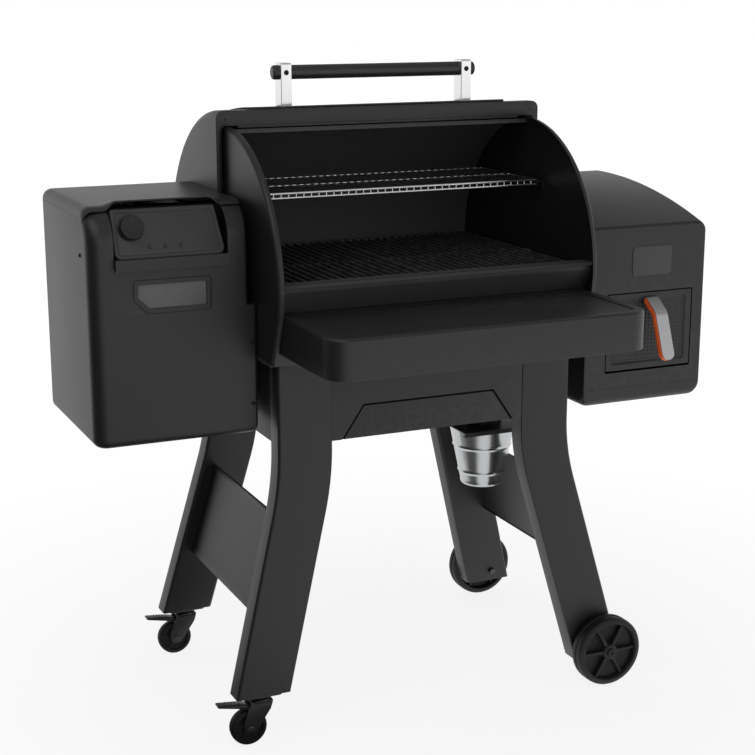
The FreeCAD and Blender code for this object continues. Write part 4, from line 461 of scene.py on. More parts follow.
def endStations(start, stop, roundStart, roundStop, steps=6):
    # positions along an axis with the inset each needs, so both ends roll over with a quarter circle
    quarter = np.linspace(0, np.pi / 2, steps)
    first = [(start + roundStart * (1 - np.cos(q)), roundStart * (1 - np.sin(q))) for q in quarter]
    last = [(stop - roundStop * (1 - np.cos(q)), roundStop * (1 - np.sin(q))) for q in quarter[::-1]]
    return first + last


def stackSolid(name, loops, angle=32.0, material=blackCoat):
    # outlines joined in order into a closed skin, with a flat cap on the first and last
    loops = np.asarray(loops)
    count, size = loops.shape[:2]
    faces = gridFaces(count, size, False, True)
    faces += [list(range(size))[::-1], list(range((count - 1) * size, count * size))]
    return makePiece(name, loops.reshape(-1, 3), faces, angle, material=material)


def roundedSolid(name, points, radii, axis, start, stop, ends=(0, 0), steps=6, endSteps=5, angle=32.0,
                 material=blackCoat):
    # an outline carried along an axis, with both ends rolled over
    loops = [lift(filletLoop(points, radii, inset, steps), axis, at)
             for at, inset in endStations(start, stop, ends[0], ends[1], endSteps)]
    return stackSolid(name, loops, angle, material)


def slopedBlock(name, outline, x0, x1, material=blackCoat):
    # a (y, z) outline carried straight along x
    return stackSolid(name, [lift(np.array(outline, float), "x", x) for x in (x0, x1)], material=material)


def rectangle(a0, a1, b0, b1):
    return [(a0, b0), (a1, b0), (a1, b1), (a0, b1)]


def blockSolid(name, x0, x1, y0, y1, z0, z1, r=0.8, material=blackCoat):
    r = min(r, min(x1 - x0, y1 - y0, z1 - z0) * 0.45)
    return roundedSolid(name, rectangle(x0, x1, y0, y1), [r] * 4, "z", z0, z1, (r, r), 3, 3, 40, material)


def revolveSolid(name, profile, centre, axis, segments=64, angle=32.0, material=blackCoat, body=None):
    # profile of (distance along the axis, radius), turned about the axis; zero radius closes the ends
    axis = np.asarray(axis, float) / np.linalg.norm(axis)
    helper = np.array([0, 0, 1.0]) if abs(axis[2]) < 0.9 else np.array([1.0, 0, 0])
    u = np.cross(axis, helper)
    u /= np.linalg.norm(u)
    v = np.cross(axis, u)
    turn = np.linspace(0, 2 * np.pi, segments, endpoint=False)
    ring = np.cos(turn)[:, None] * u + np.sin(turn)[:, None] * v
    profile = np.asarray(profile, float)
    points = np.asarray(centre, float) + profile[:, None, 0:1] * axis + profile[:, None, 1:2] * ring[None]
    faces = gridFaces(len(profile), segments, False, True)
    return makePiece(name, points.reshape(-1, 3), faces, angle, material=material, body=body)


def rodSolid(name, start, stop, radius, centre, axis, segments=24, material=blackCoat):
    # plain cylinder between two distances along an axis
    profile = [(start, 0), (start, radius), (stop, radius), (stop, 0)]
    return revolveSolid(name, profile, centre, axis, segments, material=material)


def wireSet(name, paths, radius, material, sides=8):
    # round wires along open paths of equal length: a ring of points square to the path at each point
    paths = np.asarray(paths, float)
    ahead = np.empty_like(paths)
    ahead[:, 1:-1] = paths[:, 2:] - paths[:, :-2]
    ahead[:, 0], ahead[:, -1] = paths[:, 1] - paths[:, 0], paths[:, -1] - paths[:, -2]
    ahead /= np.linalg.norm(ahead, axis=2)[:, :, None]
    across = np.cross(ahead[:, :1], ahead.mean(1, keepdims=True) + [0.11, 0.23, 0.31])
    across = np.repeat(across, paths.shape[1], 1)
    across -= np.sum(across * ahead, 2)[:, :, None] * ahead
    across /= np.linalg.norm(across, axis=2)[:, :, None]
    other = np.cross(ahead, across)
    turn = np.linspace(0, 2 * np.pi, sides, endpoint=False)
    ring = (np.cos(turn)[None, None, :, None] * across[:, :, None]
            + np.sin(turn)[None, None, :, None] * other[:, :, None])
    points = paths[:, :, None] + radius * ring
    count, length = paths.shape[:2]
    base = gridFaces(length, sides, False, True)
    base += [list(range(sides))[::-1], list(range((length - 1) * sides, length * sides))]
    faces = [[i + k * length * sides for i in face] for k in range(count) for face in base]
    return makePiece(name, points.reshape(-1, 3), faces, 50, material=material)


def screwHead(name, at, normal, radius, height, material):
    # domed head with a hollow drive, as (share of the height, share of the radius)
    dome = [(0.0, 1.0), (0.45, 1.0), (0.8, 0.82), (1.0, 0.5), (1.0, 0.42), (0.5, 0.38), (0.45, 0.0)]
    profile = [(-0.2, 0.0), (-0.2, radius)] + [(height * a, radius * b) for a, b in dome]
    return revolveSolid(name, profile, at, normal, 20, 45, material)


def sheetAlongX(name, path, x0, x1, wall, side, material=blackCoat):
    # a folded (y, z) path carried along x, thickened to one side
    path = np.asarray(path, float)
    rows = [np.stack([np.full(len(path), x), path[:, 0], path[:, 1]], -1) for x in (x0, x1)]
    piece = makePiece(name, np.concatenate(rows), gridFaces(2, len(path)), 30.0, False, material)
    return thicken(piece, wall, side, 30.0)


print("helpers ready")


leg = dict(inner=212.0, width=112.0, depth=42.0, wall=2.0, bend=7.0, innerBend=(0.7, 2.6), edge=0.7, front=229.0,
           top=763.0, kneeZ=520.0, kneeHalf=65.0, sideRun=0.262, backRun=0.09, casterFoot=103.0, wheelFoot=52.0,
           plate=3.0, plateGap=2.2)


def kneeDrop(z):
    # no drop above the knee, a parabola through it, then a straight slope
    z = np.asarray(z, float)
    top, foot = leg["kneeZ"] + leg["kneeHalf"], leg["kneeZ"] - leg["kneeHalf"]
    curve = (top - z) ** 2 / (4 * leg["kneeHalf"])
    return np.where(z >= top, 0.0, np.where(z > foot, curve, leg["kneeZ"] - z))


def legInner(z):
    return leg["inner"] + leg["sideRun"] * kneeDrop(z)


def legFront(z):
    return leg["front"] + leg["backRun"] * kneeDrop(z)


def legPiece(name, side, frontLeg, foot):
    # channel section (web in front, flanges behind, rounded bends) carried down the leg's curve
    w, d, t, r, e = leg["width"], leg["depth"], leg["wall"], leg["bend"], leg["edge"]
    outline = [(0, d), (0, 0), (w, 0), (w, d), (w - t, d), (w - t, t), (t, t), (t, d)]
    # the apron meets the left front leg without a visible joint, the right one with a narrow shadow line
    inside = leg["innerBend"][side > 0] if frontLeg else r
    section = filletLoop(outline, [e, inside, r, e, e, r - t, r - t, e], 0.0, 7)

    def webY(z):
        return -legFront(z) if frontLeg else legFront(z) - d

    bend = np.linspace(leg["kneeZ"] + leg["kneeHalf"], leg["kneeZ"] - leg["kneeHalf"], 15)
    heights = np.concatenate([[leg["top"], leg["top"] - 60], bend, [400.0, 250.0, foot + 40, foot]])
    loops = [np.stack([side * (legInner(z) + section[:, 0]), section[:, 1] + webY(z), np.full(len(section), z)], -1)
             for z in heights]
    parts = [softEdges(stackSolid(name + "Sheet", loops, 30), 0.5, 1, 60)]
    if side < 0:
        plate, gap = leg["plate"], leg["plateGap"]
        x0, y0 = -(legInner(foot) + w) + gap, webY(foot) + gap
        parts.append(blockSolid(name + "Foot", x0, x0 + w - 2 * gap, y0, y0 + d - 3, foot, foot + plate))
    return joinPieces(name, parts, "frame")


for legName, side, frontLeg, foot in (("leg_front_left", -1, True, leg["casterFoot"]),
                                      ("leg_back_left", -1, False, leg["casterFoot"]),
                                      ("leg_front_right", 1, True, leg["wheelFoot"]),
                                      ("leg_back_right", 1, False, leg["wheelFoot"])):
    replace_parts(legPiece(legName + ".look", side, frontLeg, foot), legName)

rails = dict(bottom=598.0, half=211.2, overlap=0.75, front=-229.0, thick=8.2, wall=2.0, sideX=321.7,
             sideY=(-222.5, 186.5), back=187.5, frontFold=(7, 15), rearFold=14.0, sideFold=9.0, bend=0.6,
             groove=4.0, recess=((-197.5, 589), (-145, 666), (145, 666), (197.5, 589)), recessDepth=3.0,
             recessBend=6.0, fieldDepth=0.9)


def apronPiece():
    # flat panel with a folded lower edge; a groove outlines a trapezoid that runs out at the bottom
    h, y, z0, z1 = rails["half"], rails["front"], rails["bottom"], leg["top"]
    back, corners = y + rails["thick"], [rails["recessBend"]] * 4
    outline = rectangle(-h - rails["overlap"], h, z0, z1)
    panel = roundedSolid("apron", outline, [0.8] * 4, "y", y, back, (0.3, 0.6), 3, 3)
    steps = [(-2.0, 0.0), (0.0, 0.0), (rails["recessDepth"], 0.5)]
    groove = stackSolid("groove", [lift(filletLoop(rails["recess"], corners, inset, 5), "y", y + dy)
                                   for dy, inset in steps])
    # the cut faces take the second material slot of the panel, the painted shade, so the groove shows a painted shadow
    # line
    for sheet in (panel, groove):
        sheet.data.materials.append(paintedShade)
    groove.data.polygons.foreach_set("material_index", np.ones(len(groove.data.polygons), np.int32))
    carve(panel, [groove], 25)
    outline = filletLoop(rails["recess"], corners, rails["groove"], 3)
    field = roundedSolid("trapezoid", outline, [0.3] * 12, "y", y + rails["fieldDepth"], back - 0.4, (0.5, 0.0), 2, 3)
    carve(field, [blockSolid("below", -h, h, y - 5, y + 20, z0 - 30, z0 + 0.3, 0.1)], 25)
    fold0, fold1 = (y + out for out in rails["frontFold"])
    fold = blockSolid("apronFold", -h, h, fold0, fold1, z0, z0 + rails["wall"], rails["bend"])
    return [panel, field, fold]


def framePieces():
    # front panel, rear rail and side rails, each with its lower edge folded in
    h, back, t, bend = rails["half"], rails["back"], rails["wall"], rails["bend"]
    z0, z1, (y0, y1) = rails["bottom"], leg["top"], rails["sideY"]
    parts = apronPiece()
    parts.append(blockSolid("rearRail", -h, h, back, back + t, z0, z1, bend))
    parts.append(blockSolid("rearFold", -h, h, back, back + rails["rearFold"], z0, z0 + t, bend))
    for side in (-1, 1):
        for name, wide, top in (("sideRail", t, z1), ("sideFold", rails["sideFold"], z0 + t)):
            x0, x1 = sorted((side * rails["sideX"], side * (rails["sideX"] - wide)))
            parts.append(blockSolid(name, x0, x1, y0, y1, z0, top, bend))
    return joinPieces("frame_rails.look", parts, "frame")


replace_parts(framePieces(), "frame_rails")

brace = dict(inset=27.0, top=445.0, bottom=246.0, wall=2.0, flange=5.0, hem=11.0, step=1.4, sink=1.2, back=2.6,
             frontGap=2.8, backGap=0.8)


def bracePiece(side):
    # plate that follows the splay, with a pressed strip along its top and bottom and a plain middle
    z0, z1, t, hem, step = (brace[k] for k in ("bottom", "top", "wall", "hem", "step"))

    def edgeX(z, back=0.0):
        return float(legInner(z) + leg["width"] - brace["inset"]) - back

    heights = [z0, z0 + hem, z0 + hem + step, z1 - hem - step, z1 - hem, z1]
    sinks = [0.0, 0.0, brace["sink"], brace["sink"], 0.0, 0.0]
    outer = [(edgeX(z, sink), z) for z, sink in zip(heights, sinks)]
    flange, back = brace["flange"], brace["back"]
    inner = [(edgeX(z1, flange), z1), (edgeX(z1, flange), z1 - t), (edgeX(z1 - t, back), z1 - t),
             (edgeX(z0 + t, back), z0 + t), (edgeX(z0, flange), z0 + t), (edgeX(z0, flange), z0)]
    section = np.array(outer + inner)
    x, z = side * section[:, 0], section[:, 1]
    ys = [-legFront(z) + brace["frontGap"], legFront(z) - leg["depth"] - brace["backGap"]]
    return softEdges(stackSolid("brace", [np.stack([x, y, z], -1) for y in ys], 25), 0.4, 1, 50)


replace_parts(joinPieces("side_braces.look", [bracePiece(-1), bracePiece(1)], "frame"), "side_braces")
print("legs and frame")


caster = dict(r=37.5, width=24.0, trail=27.0, forkTop=92.0, forkWall=2.5, forkGap=2.5, bore=4.3, ribs=5, ribTurn=0.3,
              spoke=(13.0, 27.5), spokeR=1.7, spokeIn=2.6, crown=(24.0, 22.0), crownThick=4.0, axleR=3.9,
              plate=(40.0, 19.0), plateZ=(99.8, 102.6), stemZ=99.0, pinBack=2.0, pinUp=5.5, pedalHalf=12.0,
              pedalReach=92.0, grips=4, gripHalf=8.0, gripPitch=6.0, gripRise=0.75, barrelHalf=13.9)
casterX = -float(legInner(leg["casterFoot"]) + leg["width"] / 2)
casterY = float(legFront(leg["casterFoot"]) - leg["depth"] / 2)


def casterPieces(tag, way):
    # turned tyre with round ribs, two cheeks under a crown and a swivel race, and a brake pedal behind the fork
    y, axleX = way * casterY, casterX - caster["trail"]
    r, h = caster["r"], caster["width"] / 2
    body = "caster_wheel_" + tag
    half = [(-h, 12.0), (-h, 14.0), (-h + 3.5, 15.0), (-h + 3.5, 26.5), (-h, 28.0), (-h, r - 5.5), (-h + 1.2, r - 2.6),
            (-h + 3.8, r - 0.8), (-h + 8, r - 0.1)]
    tread = half + [(0, r)] + [(-a, b) for a, b in half[::-1]] + [(h, caster["bore"]), (-h, caster["bore"]), half[0]]
    wheel = revolveSolid("tread", tread, (axleX, y, r), (0, 1, 0), 72, 30, softBlack)
    spokes = []
    for face in (-1, 1):
        for k in range(caster["ribs"]):
            a = 2 * np.pi * k / caster["ribs"] + caster["ribTurn"]
            out = np.array([np.cos(a), 0, np.sin(a)])
            hub = np.array([axleX, y + face * (h - caster["spokeIn"]), r])
            spokes.append([reach * out for reach in caster["spoke"]] + hub)
    ribs = wireSet("ribs", spokes, caster["spokeR"], softBlack, 6)
    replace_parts(joinPieces(body + ".look", [wheel, ribs], body), body)

    inner, outer = h + caster["forkGap"], h + caster["forkGap"] + caster["forkWall"]
    top, back, front = caster["forkTop"], casterX - caster["crown"][0], casterX + caster["crown"][1]
    outline = [(back, top), (front, top), (casterX + 16, top - 18), (axleX + 11, r - 9), (axleX - 11, r - 9),
               (axleX - 13, r + 14)]
    parts = [roundedSolid("cheek", outline, [3, 4, 9, 9, 9, 9], "y", y + a, y + b, (0.6, 0.6), 5, 3,
                          material=blackPlastic) for a, b in ((inner, outer), (-outer, -inner))]
    parts.append(roundedSolid("crown", rectangle(back, front, y - outer, y + outer), [5] * 4, "z",
                              top - caster["crownThick"], top, (0.5, 1.6), 5, 4, material=blackPlastic))
    race = [(0, 8.2), (0, 19), (2.2, 19), (3.0, 17.8), (3.4, 15.8), (5.0, 16.4), (6.6, 18.2), (7.2, 18.2), (7.3, 17.5),
            (7.3, 8.2), (0, 8.2)]
    parts.append(revolveSolid("race", race, (casterX, y, top), (0, 0, 1), 48, material=darkSteel))
    nut = [(-0.3, 0), (-0.3, 7), (0.5, 7.0), (2.4, 6.4), (3.0, 5.4), (3.0, 3.6), (1.8, 3.2), (1.8, 0)]
    for face in (-1, 1):
        parts.append(revolveSolid("axleNut", nut, (axleX, y + face * outer, r), (0, face, 0), 24, 40, darkSteel))
    parts.append(rodSolid("axle", -outer, outer, caster["axleR"], (axleX, y, r), (0, 1, 0), 20, darkSteel))
    px, pz = axleX - caster["pinBack"], 2 * r + caster["pinUp"]
    end = outer + 2
    pin = [(-end, 0), (-end, 2.1), (-end + 0.6, 2.5), (end - 0.6, 2.5), (end, 2.1), (end, 0)]
    parts.append(revolveSolid("pedalPin", pin, (px, y, pz), (0, 1, 0), 16, material=darkSteel))
    fork = joinPieces("caster_fork_" + tag + ".look", parts, "fork_" + tag)
    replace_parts(fork, "caster_fork_" + tag)

    tip, half = casterX - caster["pedalReach"], caster["pedalHalf"]
    shape = [(px + 8, pz - 3.5), (px + 8, pz + 4), (px - 14, pz + 9), (tip + 2, pz + 14), (tip, pz + 10),
             (px - 20, pz + 1), (px - 10, pz - 3.5)]
    step = roundedSolid("tread", shape, [3, 4, 12, 2, 2, 10, 5], "y", y - half, y + half, (3, 3), 5, 4,
                        material=blackPlastic)
    wide, pitch, rise = caster["gripHalf"], caster["gripPitch"], caster["gripRise"]
    lines = [[(px - 24 - pitch * k, y + side * wide, pz + 10.3 + rise * k) for side in (-1, 1)]
             for k in range(caster["grips"])]
    ridges = wireSet("grip", lines, 1.0, blackPlastic, 6)
    end = caster["barrelHalf"]
    tube = [(-end, 2.6), (-end, 4.4), (end, 4.4), (end, 2.6), (-end, 2.6)]
    barrel = revolveSolid("barrel", tube, (px, y, pz), (0, 1, 0), 20, material=blackPlastic)
    pedal = joinPieces("caster_pedal_" + tag + ".look", [step, ridges, barrel], "pedal_" + tag)
    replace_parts(pedal, "caster_pedal_" + tag)


casterPieces("front", -1)
casterPieces("back", 1)


def casterPlatePiece():
    # plate under each left leg with the turned stem of its swivel
    (halfX, halfY), (z0, z1) = caster["plate"], caster["plateZ"]
    stem = [(-15, 0), (-15, 9.5), (-14.2, 10.8), (-12, 11), (-12, 7.9), (6, 7.9), (6, 0)]
    parts = []
    for y in (-casterY, casterY):
        outline = rectangle(casterX - halfX, casterX + halfX, y - halfY, y + halfY)
        parts.append(roundedSolid("topPlate", outline, [6] * 4, "z", z0, z1, (0.6, 0.4), 5, 3, material=darkSteel))
        parts.append(revolveSolid("stem", stem, (casterX, y, caster["stemZ"]), (0, 0, 1), 24, material=darkSteel))
    return joinPieces("caster_plates.look", parts, "frame")


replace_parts(casterPlatePiece(), "caster_plates")

cartWheel = dict(r=76.0, width=40.0, x=397.0, ribs=6, gap=1.5, hubBore=5.2, boltR=4.8, nutOut=1.2, ribStart=2.5,
                 ribShape=((15.5, 4.2, 17.2), (28, 3.2, 16.0), (45, 2.7, 14.6), (61.6, 3.4, 14.2)))


def cartWheelPiece(tag, way):
    # turned tyre and rim, dished disc, tapering ribs on both sides, stepped hub; returns the bolt's pieces
    x, r, w = cartWheel["x"], cartWheel["r"], cartWheel["width"]
    inner = way * (float(legFront(leg["wheelFoot"])) + cartWheel["gap"])
    centre, h, bore = (x, inner + way * w / 2, r), w / 2, cartWheel["hubBore"]
    # one half of the section: wall and crown of the tyre out to its middle groove, and the inside back to the hub
    crown = [(h, 63.5), (h, 66.0), (h - 1.0, 69.5), (h - 3.5, 73.6), (h - 7.0, 75.5), (h - 11, 76.0), (4.0, 76.0),
             (2.6, 74.2)]
    disc = [(h - 1.8, 62.0), (h - 4, 61.2), (4.5, 60.2), (3.6, 58.5), (3.2, 21.0), (4.6, 19.0), (h - 6, 17.6),
            (h - 1.5, 17.0), (h, 15.6), (h, bore)]
    # the inner side has no step at the root of the hub
    far = [(-a, b) for a, b in (disc[:6] + disc[7:])[::-1]]
    tyre = [(-a, b) for a, b in crown] + crown[::-1] + disc + far + [(-h, 63.5)]
    parts = [revolveSolid("tyre", tyre, centre, (0, way, 0), 96, 28, wheelBlack)]
    for k in range(cartWheel["ribs"]):
        a = np.radians(360 * k / cartWheel["ribs"])
        for face in (-1, 1):
            rib = []
            for dist, halfWide, high in cartWheel["ribShape"]:
                outline = rectangle(-halfWide, halfWide, cartWheel["ribStart"], high)
                loop = filletLoop(outline, [0.5, 0.5, 1.6, 1.6], 0, 3)
                rib.append(np.stack([dist * np.cos(a) - loop[:, 0] * np.sin(a), face * loop[:, 1],
                                     dist * np.sin(a) + loop[:, 0] * np.cos(a)], -1) + centre)
            parts.append(stackSolid("rib", rib, 35, wheelBlack))
    wheel = joinPieces("wheel_%s.look" % tag, parts, "wheel_" + tag)
    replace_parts(wheel, "wheel_" + tag)

    capShape = [(1 - w, 0), (1 - w, 4.9), (0.2, 4.9), (0.3, 9.0), (1.6, 9.0), (3.4, 8.2), (4.2, 6.6), (4.3, 4.4),
                (2.6, 4.0), (2.6, 0)]
    cap = revolveSolid("hubCap", capShape, (x, inner + way * w, r), (0, way, 0), 32, 40, wheelBlack)
    web = -float(legFront(r)) if way < 0 else float(legFront(r)) - leg["depth"]
    nutOut, boltR = cartWheel["nutOut"], cartWheel["boltR"]
    inside = web + (leg["wall"] + nutOut if way < 0 else -nutOut)
    nutShape = [(0, 0), (0, 8.0), (5.6, 8.0), (6.8, 7.0), (6.8, 0)]
    nut = revolveSolid("nut", nutShape, (x, inside, r), (0, -way, 0), 6, 30, darkSteel)
    parts = [cap, nut, rodSolid("shank", 0, abs(inner - inside), boltR, (x, inside, r), (0, way, 0), 16, darkSteel)]
    if way > 0:
        parts.append(rodSolid("spacer", 0, leg["depth"] - 2, 9, (x, web + 3.0, r), (0, 1, 0), 24, darkSteel))
    return parts


bolts = cartWheelPiece("front", -1) + cartWheelPiece("back", 1)
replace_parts(joinPieces("axle_bolts.look", bolts, "frame"), "axle_bolts")
print("casters and wheels")


drum = dict(z=900.0, r=295.0, half=345.0, rimWidth=13.0, roll=9.0, bottom=763.3, panelY=242.0, skirtY=250.0,
            skirtZ=866.0, lipY=285.0, lipZ=921.0, roofR=289.0, roofLip=(6.0, 1186.0, 1180.5), wall=2.0, footY=178.0,
            railY=(-74.0, 194.0), railZ=1063.2, railWide=22.0, railDrop=16.0, railScrews=(-40.0, 160.0), ledgeZ=900.7,
            ledgeWide=20.0, backLedgeY=(243.0, 287.5), stripY=(-239.0, 286.0), stripX=312.0)


def drumSide(inset):
    # side outline (y, z): round top, straight back, flat foot and the sloping front edge
    r, z = drum["r"] - inset, drum["z"]
    turn = np.linspace(np.pi, 0, 56)
    arc = np.stack([r * np.cos(turn), z + r * np.sin(turn)], -1)
    foot = drum["bottom"] + inset
    slope = np.array([[-drum["skirtY"] + inset, foot], [-(drum["r"] - 3) + inset, drum["skirtZ"]]])
    back = np.array([[r, z - 60], [r, foot + 4], [r - 1.2, foot + 1.2], [r - 4, foot]])
    return np.concatenate([arc, back, slope])


def endWallPiece(tag, side):
    # sheet end whose rim is turned in: outer face, rolled edge, rim flange, then the inside face
    t, w, r, half = drum["wall"], drum["rimWidth"], drum["roll"], drum["half"]
    turn = np.linspace(0, np.pi / 2, 8)
    path = [(r * (1 - math.cos(q)), r * (1 - math.sin(q))) for q in turn]
    path += [(w - 0.3, 0.0), (w, 0.3), (w, t - 0.3), (w - 0.3, t)]
    path += [(r - (r - t) * math.sin(q), r - (r - t) * math.cos(q)) for q in turn]
    loops = [lift(drumSide(inset), "x", side * (half - depth)) for depth, inset in path]
    parts = [stackSolid("wall", loops, 30)]
    # rail of the warming rack with a turned-down web
    (y0, y1), z1 = drum["railY"], drum["railZ"]
    for name, wide, z0 in (("rackRail", drum["railWide"], z1 - t), ("rackWeb", 2 * t, z1 - drum["railDrop"])):
        x0, x1 = sorted((side * (half - t), side * (half - wide)))
        parts.append(blockSolid(name, x0, x1, y0, y1, z0, z1, 0.6))
    for y in drum["railScrews"]:
        parts.append(screwHead("railScrew", (side * (half - 2 * t), y, 1053), (-side, 0, 0), 4.0, 2.0, brightSteel))
    return joinPieces("end_wall_%s.look" % tag, parts, "frame")


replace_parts(endWallPiece("left", -1), "end_wall_left")
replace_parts(endWallPiece("right", 1), "end_wall_right")


def chamberPieces():
    # front sheet with its folded lip, back sheet with the roof, two ledges for the grates and strips of the floor
    h, t = drum["half"] - drum["wall"] - 0.4, drum["wall"]
    lipY, lipZ, panelY, foot, roofR = (drum[k] for k in ("lipY", "lipZ", "panelY", "bottom", "roofR"))
    lip = [(14 - lipY, lipZ - 3.0), (13 - lipY, lipZ), (-lipY, lipZ), (-panelY, drum["skirtZ"]), (-panelY, foot),
           (-drum["footY"], foot)]
    front = roundedPath(lip, [0, 2.0, 9.0, 10.0, 3.0, 0], 8)
    edgeY, edgeTop, edgeFoot = drum["roofLip"]
    turn = np.linspace(0, np.arccos(edgeY / roofR), 48)
    roof = np.stack([roofR * np.cos(turn), drum["z"] + roofR * np.sin(turn)], -1)
    back = np.concatenate([[(drum["footY"], foot), (roofR - 3, foot), (roofR - 0.9, foot + 0.9), (roofR, foot + 3)],
                           roof, [(edgeY, edgeTop), (edgeY, edgeFoot)]])
    # the inside sheets, ledges and floor strips take the enamel whose grey is partly painted light
    parts = [sheetAlongX("frontSheet", front, -h, h, t, -1, enamelWithPaintedLight),
             sheetAlongX("backSheet", back, -h, h, t, 1, enamelWithPaintedLight)]
    z0, z1 = drum["ledgeZ"], drum["ledgeZ"] + t
    slope = (lipY - panelY) / (lipZ - drum["skirtZ"])
    y0 = -(panelY + slope * (z0 - drum["skirtZ"])) + 2.5
    for name, ya, yb in (("frontLedge", y0, y0 + drum["ledgeWide"]), ("backLedge", *drum["backLedgeY"])):
        parts.append(blockSolid(name, -h, h, ya, yb, z0, z1, 0.5, enamelWithPaintedLight))
    for x0, x1 in ((-h, -drum["stripX"]), (drum["stripX"], h)):
        parts.append(blockSolid("floorStrip", x0, x1, *drum["stripY"], foot + 0.2, foot + t, 0.4, enamelWithPaintedLight))
    return parts


chamber = joinPieces("chamber_body.look", chamberPieces(), "frame")
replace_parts(chamber, "chamber_body")

# parts inside the drum also take the enamel whose grey is partly painted light
for nodeName, finish in (("drain_pan", enamelWithPaintedLight), ("heat_baffle", enamelWithPaintedLight), ("drip_tray", enamelWithPaintedLight),
                         ("burn_pot", enamelWithPaintedLight), ("igniter_rod", brightSteel), ("temperature_probe", brightSteel),
                         ("feed_tubes", zincSheet), ("auger_screw", zincSheet), ("auger_motor", darkSteel),
                         ("fan_housing", blackPlastic), ("fan_impeller", blackPlastic), ("cabinet_spacers", darkSteel),
                         ("exhaust_hood", blackCoat), ("shelf_brackets", blackCoat), ("hinge_pins", brightSteel),
                         ("power_inlet", blackPlastic), ("hopper_bin", zincSheet), ("drain_collar", blackCoat),
                         ("lid_pivots", brightSteel)):
    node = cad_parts[nodeName]
    node.data.materials.clear()
    node.data.materials.append(finish)
print("chamber")


cup = dict(x=243.0, bottom=390.0, top=527.0, r0=45.0, r1=73.0, wall=1.2, rim=80.0, beads=(421.0, 480.0), bead=2.2,
           beadWidth=2.6, foot=0.8)


def cupPiece():
    # tapered wall with raised beads, a rolled foot and a flat rim; the inside follows the outside
    low, high, r0, r1, rim = cup["bottom"], cup["top"] - cup["bottom"], cup["r0"], cup["r1"], cup["rim"]
    z = np.linspace(3.0, high - 2.0, 90)
    taper = r0 + (r1 - r0) * z / high
    bulge = sum(cup["bead"] * np.exp(-((z + low - b) / cup["beadWidth"]) ** 2) for b in cup["beads"])
    swell = cup["foot"] * np.exp(-((z - 6) / 3.0) ** 2)
    wall = list(zip(z, taper + bulge + swell))
    outer = [(0.0, 0.0), (0.0, r0 - 3.0), (0.6, r0 - 1.2)] + wall
    edge = [(high - 1.1, r1 + 0.4), (high - 1.1, rim - 0.6), (high - 0.6, rim), (high - 0.1, rim - 0.6),
            (high - 0.1, r1 - 1.0)]
    inner = [(a, b - cup["wall"]) for a, b in wall[::-1]] + [(1.4, r0 - 4), (1.4, 0.0)]
    return revolveSolid("drip_cup.look", outer + edge + inner, (cup["x"], 0, low), (0, 0, 1), 96, 35, zincSheet, "cup")


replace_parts(cupPiece(), "drip_cup")
print("cup")


hopper = dict(left=-668.0, right=-345.3, step=-362.0, stepZ=873.0, y=178.0, bottom=617.0, top=1063.7, corner=28.0,
              backCorner=5.0, under=18.0, seam=6.0, brow=60.0, sideBrow=21.0, wall=2.0, lipZ=1049.0, wellX0=-620.6,
              wellX1=-400.5, wellBack=-131.0, wellZ=974.7, leanZ=959.0, lean=2.2, leanRise=17.7, slitZ=952.0, slit=1.5,
              inlet=(-621.0, -579.0, 679.0, 701.0), knuckles=((-625.0, -585.3), (-445.0, -405.3)))


def hopperSkin(name, t):
    # outlines from the floor up: rolled foot, step below the chamber, brow rolled back over the front
    h = hopper

    def front(z):
        above = z - (h["top"] - h["brow"])
        if above <= 0:
            return h["y"] - t
        return (h["y"] - h["brow"]) + math.sqrt(max(0, (h["brow"] - t) ** 2 - above ** 2))

    def side(z):
        above = z - (h["top"] - h["sideBrow"])
        if z < h["lipZ"]:
            return h["left"] + t
        return h["left"] + 2 + h["sideBrow"] - math.sqrt(max(0, (h["sideBrow"] - t) ** 2 - above ** 2))

    def ring(z, right, inset=0.0):
        outline = [(side(z), -front(z)), (right - t, -front(z)), (right - t, h["y"] - t), (side(z), h["y"] - t)]
        radii = [h["corner"] - t, h["seam"] - t, h["seam"] - t, h["backCorner"] - t]
        return lift(filletLoop(outline, radii, inset, 9), "z", z)

    r = h["under"] - t
    rings = [ring(h["bottom"] + t + r * (1 - math.cos(q)), h["right"], r * (1 - math.sin(q)))
             for q in np.linspace(0, math.pi / 2, 7)]
    ledge = h["stepZ"] - t
    rings += [ring(ledge - 1.6, h["right"]), ring(ledge - 0.4, h["right"] - 0.5), ring(ledge, h["right"] - 1.6),
              ring(ledge, h["step"] + 1.0), ring(ledge + 1.0, h["step"])]
    brow, lip, rise = h["top"] - h["brow"], h["lipZ"], h["top"] - t - h["lipZ"]
    heights = [h["leanZ"] - 4, brow] + list(brow + 42 * np.linspace(0.1, 1, 9)) + [lip - 0.01, lip]
    heights += list(lip + rise * np.sin(np.linspace(0, np.pi / 2, 14))[1:])
    rings += [ring(z, h["step"]) for z in heights]
    return stackSolid(name, rings, 28)


window = dict(x0=-577.0, x1=-444.0, z0=880.5, z1=926.5, cut=22.0, frame=9.0)


def windowOutline(grow):
    # rectangle with its lower left corner cut off
    x0, x1, z0, z1 = window["x0"] - grow, window["x1"] + grow, window["z0"] - grow, window["z1"] + grow
    cut = window["cut"] + 0.4 * grow
    return [(x0 + cut, z0), (x1, z0), (x1, z1), (x0, z1), (x0, z0 + cut)]


def windowSolid(name, grow, y0, y1, ends=(0, 0), radius=3.0, material=blackCoat):
    return roundedSolid(name, windowOutline(grow), [radius] * 5, "y", y0, y1, ends, 5, 4, material=material)


hopperLid = dict(left=-668.0, right=-362.0, top=1070.3, wall=3.0, curl=21.0, backCorner=5.0, frontY=-141.0,
                 bendY=-118.0, drop=7.2, raisedY=-129.0, backY=178.0, rise=8.5, x0=-600.0, x1=-422.0, slope=24.0,
                 fade=62.0, hingeY=183.0, hingeZ=1064.15, hingeR=5.0, hingeBore=2.6,
                 knuckles=((-584.7, -545.0), (-404.7, -365.0)))


